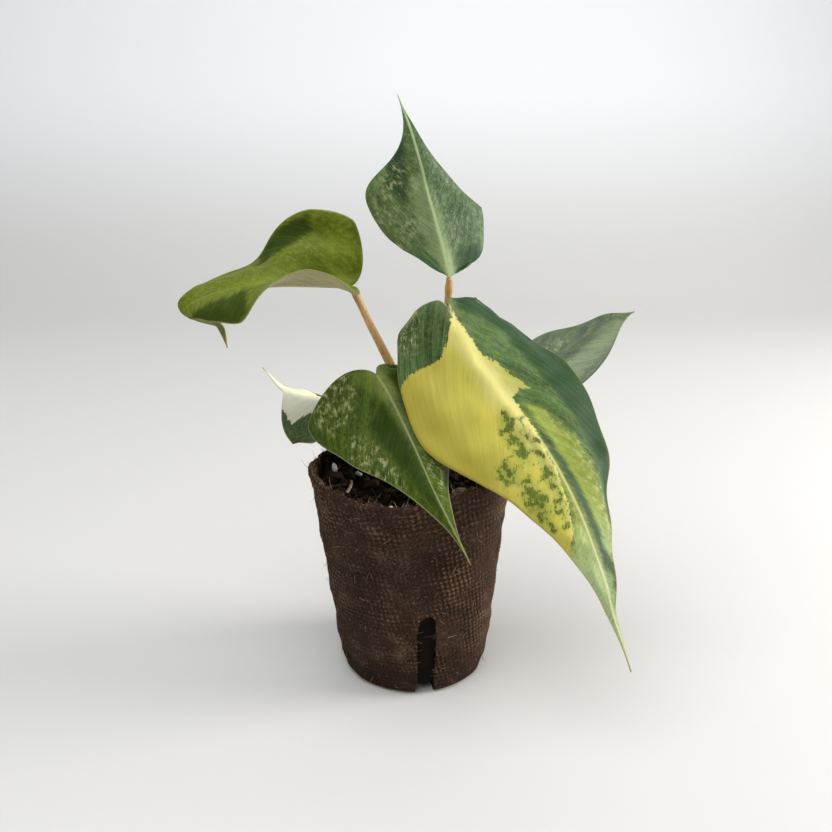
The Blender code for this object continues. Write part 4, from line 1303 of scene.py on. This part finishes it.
class PLANT_OT_stalks(bpy.types.Operator):
    """Make the six leaf stalks, each widened where it clasps the stem and swollen under its blade"""

    bl_idname = "plant.stalks"
    bl_label = "Leaf stalks"

    def execute(self, context):
        stalk = context.scene.potted_plant.stalk
        for name, leaf in LEAVES.items():
            foot = np.array(leaf["stalk"][0]) * (0.35, 0.35, 1)
            path = np.array([foot, *leaf["stalk"], leaf["rib"][0]], float) * MM + CROWN
            path[-1] += unit(path[-2] - path[-1]) * (0.0001 if name == "top" else 0.0008)
            radii = np.array([1.25, 1.02, 1.0, 0.85]) * PETIOLE_FOOT_RADIUS
            radii = [*radii, PETIOLE_TOP_RADIUS * 0.98, PETIOLE_TOP_RADIUS * 0.85]
            points, wrap = tube_points(path, radii, 24, 120)
            part = wrap[..., 2]
            turn = np.linspace(0, math.tau, points.shape[1], endpoint=False)
            channel = np.exp(-((np.cos((turn - 1.2) / 2) / 0.25) ** 2))
            joint = 0.00016 * np.exp(-(((part - 0.955) / 0.02) ** 2))
            depth = joint - 0.00026 * channel * ease(part, 0.9, 0.5) + 0.00003 * rough(points, 0.004, 120)
            material = stalk_material("petiole", stalk.foot, stalk.middle, stalk.end)
            faces = ring_faces(*points.shape[:2])
            piece = add_mesh(f"{name}_stalk", swell(points, depth), faces, [material], {"wrap": wrap})
            settle(piece, "petiole", f"leaf_{name}_petiole")
        return {"FINISHED"}


def outline(shoulder=0.17, notch=0.13, belly=0.31, tail=0.60):
    """Half of a flat leaf outline as three curves, in shares of its length and of its half width:
    round the lobe behind the stalk, out to the widest place, and on to the tip."""
    hook = 0.16 if notch < 0 else 0.0
    return (
        ((0, 0), (-0.4 * notch, 0.02 + hook), (-notch, 0.20 + hook), (-notch, 0.46)),
        ((-notch, 0.46), (-notch, 0.80), (shoulder - 0.17, 1.0), (shoulder, 1.0)),
        ((shoulder, 1.0), (shoulder + belly, 1.0), (tail, 0.03), (1.0, 0.0)),
    )


def half_pattern(shape, rows, columns, lead=0.15):
    """Shares (along, across) of a grid over half a leaf. A row starts on the midrib and sweeps forward
    to the margin, as a side vein does. The first and the last row are one point each."""
    edge = []
    start = []
    for index, count in enumerate(rows):
        part = np.linspace(0, 1, count + 1)[min(index, 1) :]
        edge.append(bezier(outline(**shape)[index], part))
        if index < 2:
            start.append((index + part) / 2 * (0.17 - lead))
        else:
            start.append(bezier(outline()[2], part)[:, 0] - lead * (1 - part) ** 0.8)
    edge = np.vstack(edge)
    start = np.concatenate(start)
    out = np.linspace(0, 1, columns + 1)
    along = start[:, None] + (edge[:, :1] - start[:, None]) * out**1.25
    return along, edge[:, 1:] * out


def place_half(leaf, side, along, across):
    """Points of one half of a blade in space, in the leaf's own units, and how wide it is there:
    side is 1 for right, -1 for left."""
    this = leaf["right" if side > 0 else "left"]
    fine = spline(leaf["rib"], np.linspace(0, 1, 400))
    run = run_along(fine)
    slope = unit(np.gradient(fine, axis=0))
    part = np.clip(along, 0, 1)
    reach = part * run[-1]
    point = np.stack([np.interp(reach, run, fine[:, axis]) for axis in range(3)], -1)
    tangent = unit(np.stack([np.interp(reach, run, slope[:, axis]) for axis in range(3)], -1))
    face = spline(leaf["face"], part)
    normal = unit(face - (face * tangent).sum(-1, keepdims=True) * tangent)
    behind = np.clip(-along, 0, None)
    bend = math.radians(this["lobe"]) / 0.13
    back, rise = arc(behind, 0.0, bend)
    point = point + (normal * rise[..., None] - tangent * back[..., None]) * run[-1]
    angle = (behind * bend)[..., None]
    sideways = np.cross(tangent, normal) * side
    normal = normal * np.cos(angle) + tangent * np.sin(angle)
    width = spline(this["width"], part)
    fold = np.radians(spline(this["fold"], part)[..., 0])
    curl = np.radians(spline(this["curl"], part)[..., 0])
    out, up = arc(across, fold, curl)
    return point + (sideways * out[..., None] + normal * up[..., None]) * width, width[..., 0], run[-1]


def patch_depth(outlines, across, along):
    """How far inside the nearest of these outlines each place lies, in millimetres, and negative outside."""
    best = np.full(across.shape, -30.0)
    for corners in outlines:
        distance = np.full(across.shape, np.inf)
        inside = np.zeros(across.shape, bool)
        for (ax, ay), (bx, by) in zip(corners, corners[1:] + corners[:1]):
            ex, ey = bx - ax, by - ay
            part = np.clip(((across - ax) * ex + (along - ay) * ey) / (ex * ex + ey * ey), 0, 1)
            distance = np.minimum(distance, np.hypot(across - ax - part * ex, along - ay - part * ey))
            if ay != by:
                inside ^= ((ay > along) != (by > along)) & (across < ex * (along - ay) / ey + ax)
        best = np.maximum(best, np.where(inside, distance, -distance))
    return best


def blade_grid(leaf, rows, columns):
    """Both halves of a blade as one grid from the left margin to the right one: its points in metres,
    place (across, along, vein) and distance from the margin, in millimetres."""
    halves = []
    for side in (-1, 1):
        along, across = half_pattern(leaf["right" if side > 0 else "left"]["shape"], rows, columns)
        where, width, size = place_half(leaf, side, along, across)
        broad = across * width / width.max()
        vein = along * size - width.max() * (0.9 * broad + 1.1 * broad**2)
        place = np.stack([side * across * width, along * size, vein], -1)
        steps = np.linalg.norm(np.diff(where, axis=1), axis=-1)
        reach = np.concatenate([np.zeros((len(where), 1)), np.cumsum(steps, axis=1)], axis=1)
        halves.append((where, place, (reach[:, -1:] - reach) * 0.75))
    joined = []
    for left, right in zip(*halves):
        joined.append(np.concatenate([left[:, :0:-1], right], axis=1))
    return joined[0] * MM + CROWN, joined[1], joined[2], size


def grid_normals(points, towards):
    """Directions square to a grid, on the side that looks towards the given way."""
    normal = unit(np.cross(np.gradient(points, axis=1), np.gradient(points, axis=0)))
    normal[0], normal[-1] = normal[1], normal[-2]
    middle = points.shape[1] // 2
    if (normal[:, middle] * towards).sum() < 0:
        normal = -normal
    return normal


class PLANT_OT_blades(bpy.types.Operator):
    """Make the six leaf blades, with midrib, side veins, quilting, wavy margins and variegation"""

    bl_idname = "plant.blades"
    bl_label = "Leaf blades"

    def execute(self, context):
        blade = context.scene.potted_plant.blade
        for index, (name, leaf) in enumerate(LEAVES.items()):
            self.add_blade(name, leaf, blade, index * 17 + 3)
        return {"FINISHED"}

    def look(self, name, blade, size):
        """The colours, widths and strengths of one blade's upper face."""
        look = {key: getattr(blade, shade) for key, shade in zip(SHADE_KEYS, SHADES[name])}
        gold = blade.cream if name == "back" else blade.gold
        look.update(zip(FINISH_KEYS, FINISHES[name]))
        look.update(
            gold=gold,
            gold_light=scaled(gold, 1.2, 0.17),
            gold_deep=(0.66 * gold[0], 0.60 * gold[1], 0.4 * gold[2]),
            gold_dull=(0.5 * gold[0], 0.58 * gold[1], gold[2]),
            halo=blade.lime,
            warm=0.6 if name == "top" else 0.0,
            warm_green=blade.moss,
            spot=blade.leaf_green,
            late=blade.mint if name == "large" else look["light"],
            vein_gap=blade.vein_gap / MM,
            length=size,
        )
        return look

    def add_blade(self, name, leaf, blade, seed):
        points, place, edge, size = blade_grid(leaf, BLADE_ROWS, BLADE_COLUMNS)
        across, along, vein = place[..., 0], place[..., 1], place[..., 2]
        fade = ease(along, 1.0 * size, 0.55 * size)
        gap = blade.vein_gap / MM
        phase = np.abs((vein / gap + 0.5) % 1 - 0.5) * 2
        inner = ease(np.abs(across), 0.5, 3.0) * ease(edge, 0.0, 3.0)
        quilt = blade.quilt * (ease(phase, 0, 1) - 0.5) * inner * fade
        folds = blade.folds * noise(np.stack([across, along * 0.16], -1), 6.5, seed + 2) * inner * fade
        groove = -0.00026 * np.exp(-((across / 0.75) ** 2)) * ease(along, 0.95 * size, 0.5 * size)
        flat = np.stack([across * 0.5, along], -1)
        wave = blade.ripple * noise(flat, 9.0, seed) * ease(edge, 7.0, 0.0)
        wave = wave * ease(along, 1.0 * size, 0.8 * size)
        soft = 0.00025 * noise(flat, 4.0, seed + 1) * inner
        relief = quilt + folds + groove + wave + soft
        relief[0] = relief[-1] = 0
        normal = grid_normals(points, np.array(leaf["face"][0], float))
        points = points + normal * relief[..., None]
        half_thick = 0.5 * (blade.edge + (blade.thickness - blade.edge) * ease(edge, 0.0, 2.0))
        keel = blade.rib * np.exp(-((across / 0.85) ** 2)) * (0.25 + 0.75 * fade)
        upper = points + normal * half_thick[..., None]
        lower = points - normal * (half_thick + keel)[..., None]
        height, width = along.shape
        number = np.arange(height * width).reshape(height, width)
        number[0] = number[0, 0]
        number[-1] = number[-1, 0]
        total = height * width
        faces = []
        slots = []
        for row in range(height - 1):
            for column in range(width - 1):
                corners = (*number[row, column : column + 2], *number[row + 1, column : column + 2][::-1])
                kept = [int(spot) for index, spot in enumerate(corners) if spot != corners[index - 1]]
                faces.append(kept)
                faces.append([spot + total for spot in reversed(kept)])
                slots += [0, 1]
        for column, turn in ((0, 1), (width - 1, -1)):
            for row in range(height - 1):
                one, two = int(number[row, column]), int(number[row + 1, column])
                faces.append([one, two, two + total, one + total][::turn])
                slots.append(0)
        gold, fleck, *soft_patches = (
            patch_depth(PATCHES[name].get(kind, ()), across, along) for kind in PATCH_KINDS
        )
        attributes = {
            "place": np.stack([place] * 2),
            "patches": np.stack([np.stack([gold, fleck, edge], -1)] * 2),
            "streaks": np.stack([np.stack(soft_patches, -1)] * 2),
        }
        look = self.look(name, blade, size)
        top = upper_material(f"blade_{name}", look, seed)
        pale, dark = blade.khaki, scaled(blade.khaki, 0.72)
        if name in ("top", "right", "front"):
            pale, dark = scaled(blade.sea_green, 1.6), blade.sea_green
        under = under_material(f"under_{name}", pale, dark, look["vein_gap"], seed)
        both = np.stack([upper, lower])
        piece = add_mesh(f"{name}_blade_fine", both, faces, [top, under], attributes, slots)
        tidy = bmesh.new()
        tidy.from_mesh(piece.data)
        loose = [vertex for vertex in tidy.verts if not vertex.link_faces]
        bmesh.ops.delete(tidy, geom=loose, context="VERTS")
        bmesh.ops.recalc_face_normals(tidy, faces=tidy.faces)
        tidy.to_mesh(piece.data)
        tidy.free()
        settle(piece, f"blade_{name}", f"leaf_{name}_blade")


# ---------------------------------------------------------------- stage

class PLANT_OT_stage(bpy.types.Operator):
    """Make the pale floor and backdrop, the soft lights and the camera"""

    bl_idname = "plant.stage"
    bl_label = "Stage"

    def execute(self, context):
        stage = context.scene.potted_plant.stage
        self.sweep(stage)
        self.lights(stage)
        self.camera(context.scene)
        return {"FINISHED"}

    def sweep(self, stage):
        """A floor that curves up into the backdrop, as one sheet."""
        profile = [(-3.0, 0.0), (0.0, 0.0), (SWEEP_START, 0.0)]
        for bend in np.radians(np.linspace(10, 90, 17)):
            profile.append((SWEEP_START + SWEEP_BEND * math.sin(bend), SWEEP_BEND * (1 - math.cos(bend))))
        profile.append((SWEEP_START + SWEEP_BEND, 4.0))
        points = [(x, y, z) for y, z in profile for x in (-4.0, 4.0)]
        faces = grid_faces(len(profile), 2)
        material = plain_material("floor", stage.floor, stage.wall, 0.6)
        sweep = add_mesh("sweep", points, faces, [material])

    def lights(self, stage):
        world = bpy.data.worlds.new("room")
        world.use_nodes = True
        world.node_tree.nodes["Background"].inputs["Color"].default_value = (0.93, 0.965, 1.0, 1)
        world.node_tree.nodes["Background"].inputs["Strength"].default_value = stage.sky
        bpy.context.scene.world = world
        plant = (0.0, 0.0, 0.08)
        rows = (
            ("window", (0.72, 0.02, 0.27), plant, (0.36, 0.36), stage.key, (1.0, 0.985, 0.96)),
            ("ceiling", (-0.18, -0.26, 0.80), plant, (0.8, 0.8), stage.fill, (0.97, 0.985, 1.0)),
            ("wash", (0.0, 0.20, 1.2), (0.0, 0.95, 0.35), (2.4, 0.3), stage.wash, (0.97, 0.985, 1.0)),
        )
        for name, place, aim, size, power, tint in rows:
            light = bpy.data.lights.new(name, "AREA")
            light.shape = "RECTANGLE"
            light.size, light.size_y = size
            light.energy = power
            light.color = tint
            lamp = bpy.data.objects.new(name, light)
            lamp.location = place
            lamp.rotation_euler = vector_angles(np.array(aim) - np.array(place))
            bpy.context.scene.collection.objects.link(lamp)

    def camera(self, scene):
        data = bpy.data.cameras.new("camera")
        data.lens = LENS
        data.sensor_width = 36
        data.clip_start = 0.01
        camera = bpy.data.objects.new("camera", data)
        camera.location = CAMERA_PLACE
        camera.rotation_euler = (math.radians(90 - CAMERA_DOWN), 0, 0)
        scene.collection.objects.link(camera)
        scene.camera = camera
        scene.view_settings.view_transform = "Standard"


def vector_angles(aim):
    """Angles that turn a lamp, which shines down its own -Z, along a direction."""
    flat = math.hypot(aim[0], aim[1])
    return (math.atan2(flat, -aim[2]), 0, math.atan2(aim[1], aim[0]) - math.pi / 2)


OPERATORS = (
    PLANT_OT_pot,
    PLANT_OT_pot_hairs,
    PLANT_OT_soil,
    PLANT_OT_crumbs,
    PLANT_OT_loose,
    PLANT_OT_roots,
    PLANT_OT_stem,
    PLANT_OT_stalks,
    PLANT_OT_blades,
    PLANT_OT_stage,
)


class PLANT_PT_panel(bpy.types.Panel):
    """Settings of the potted philodendron and a button for each group of pieces"""

    bl_idname = "PLANT_PT_panel"
    bl_label = "Potted Philodendron"
    bl_space_type = "VIEW_3D"
    bl_region_type = "UI"
    bl_category = "Plant"

    def draw(self, context):
        plant = context.scene.potted_plant
        for group in ("pot", "soil", "stalk", "blade", "stage"):
            box = self.layout.box()
            box.label(text=group.title())
            settings = getattr(plant, group)
            for name in settings.__annotations__:
                box.prop(settings, name)
        for operator in OPERATORS:
            self.layout.operator(operator.bl_idname)


CLASSES = (
    PotSettings,
    SoilSettings,
    StalkSettings,
    BladeSettings,
    StageSettings,
    PlantSettings,
    *OPERATORS,
    PLANT_PT_panel,
)


def register():
    for kind in CLASSES:
        bpy.utils.register_class(kind)
    bpy.types.Scene.potted_plant = PointerProperty(type=PlantSettings)


def unregister():
    del bpy.types.Scene.potted_plant
    for kind in reversed(CLASSES):
        bpy.utils.unregister_class(kind)


def main():
    register()
    for operator in OPERATORS:
        group, name = operator.bl_idname.split(".")
        getattr(getattr(bpy.ops, group), name)()


if __name__ == "__main__":
    main()
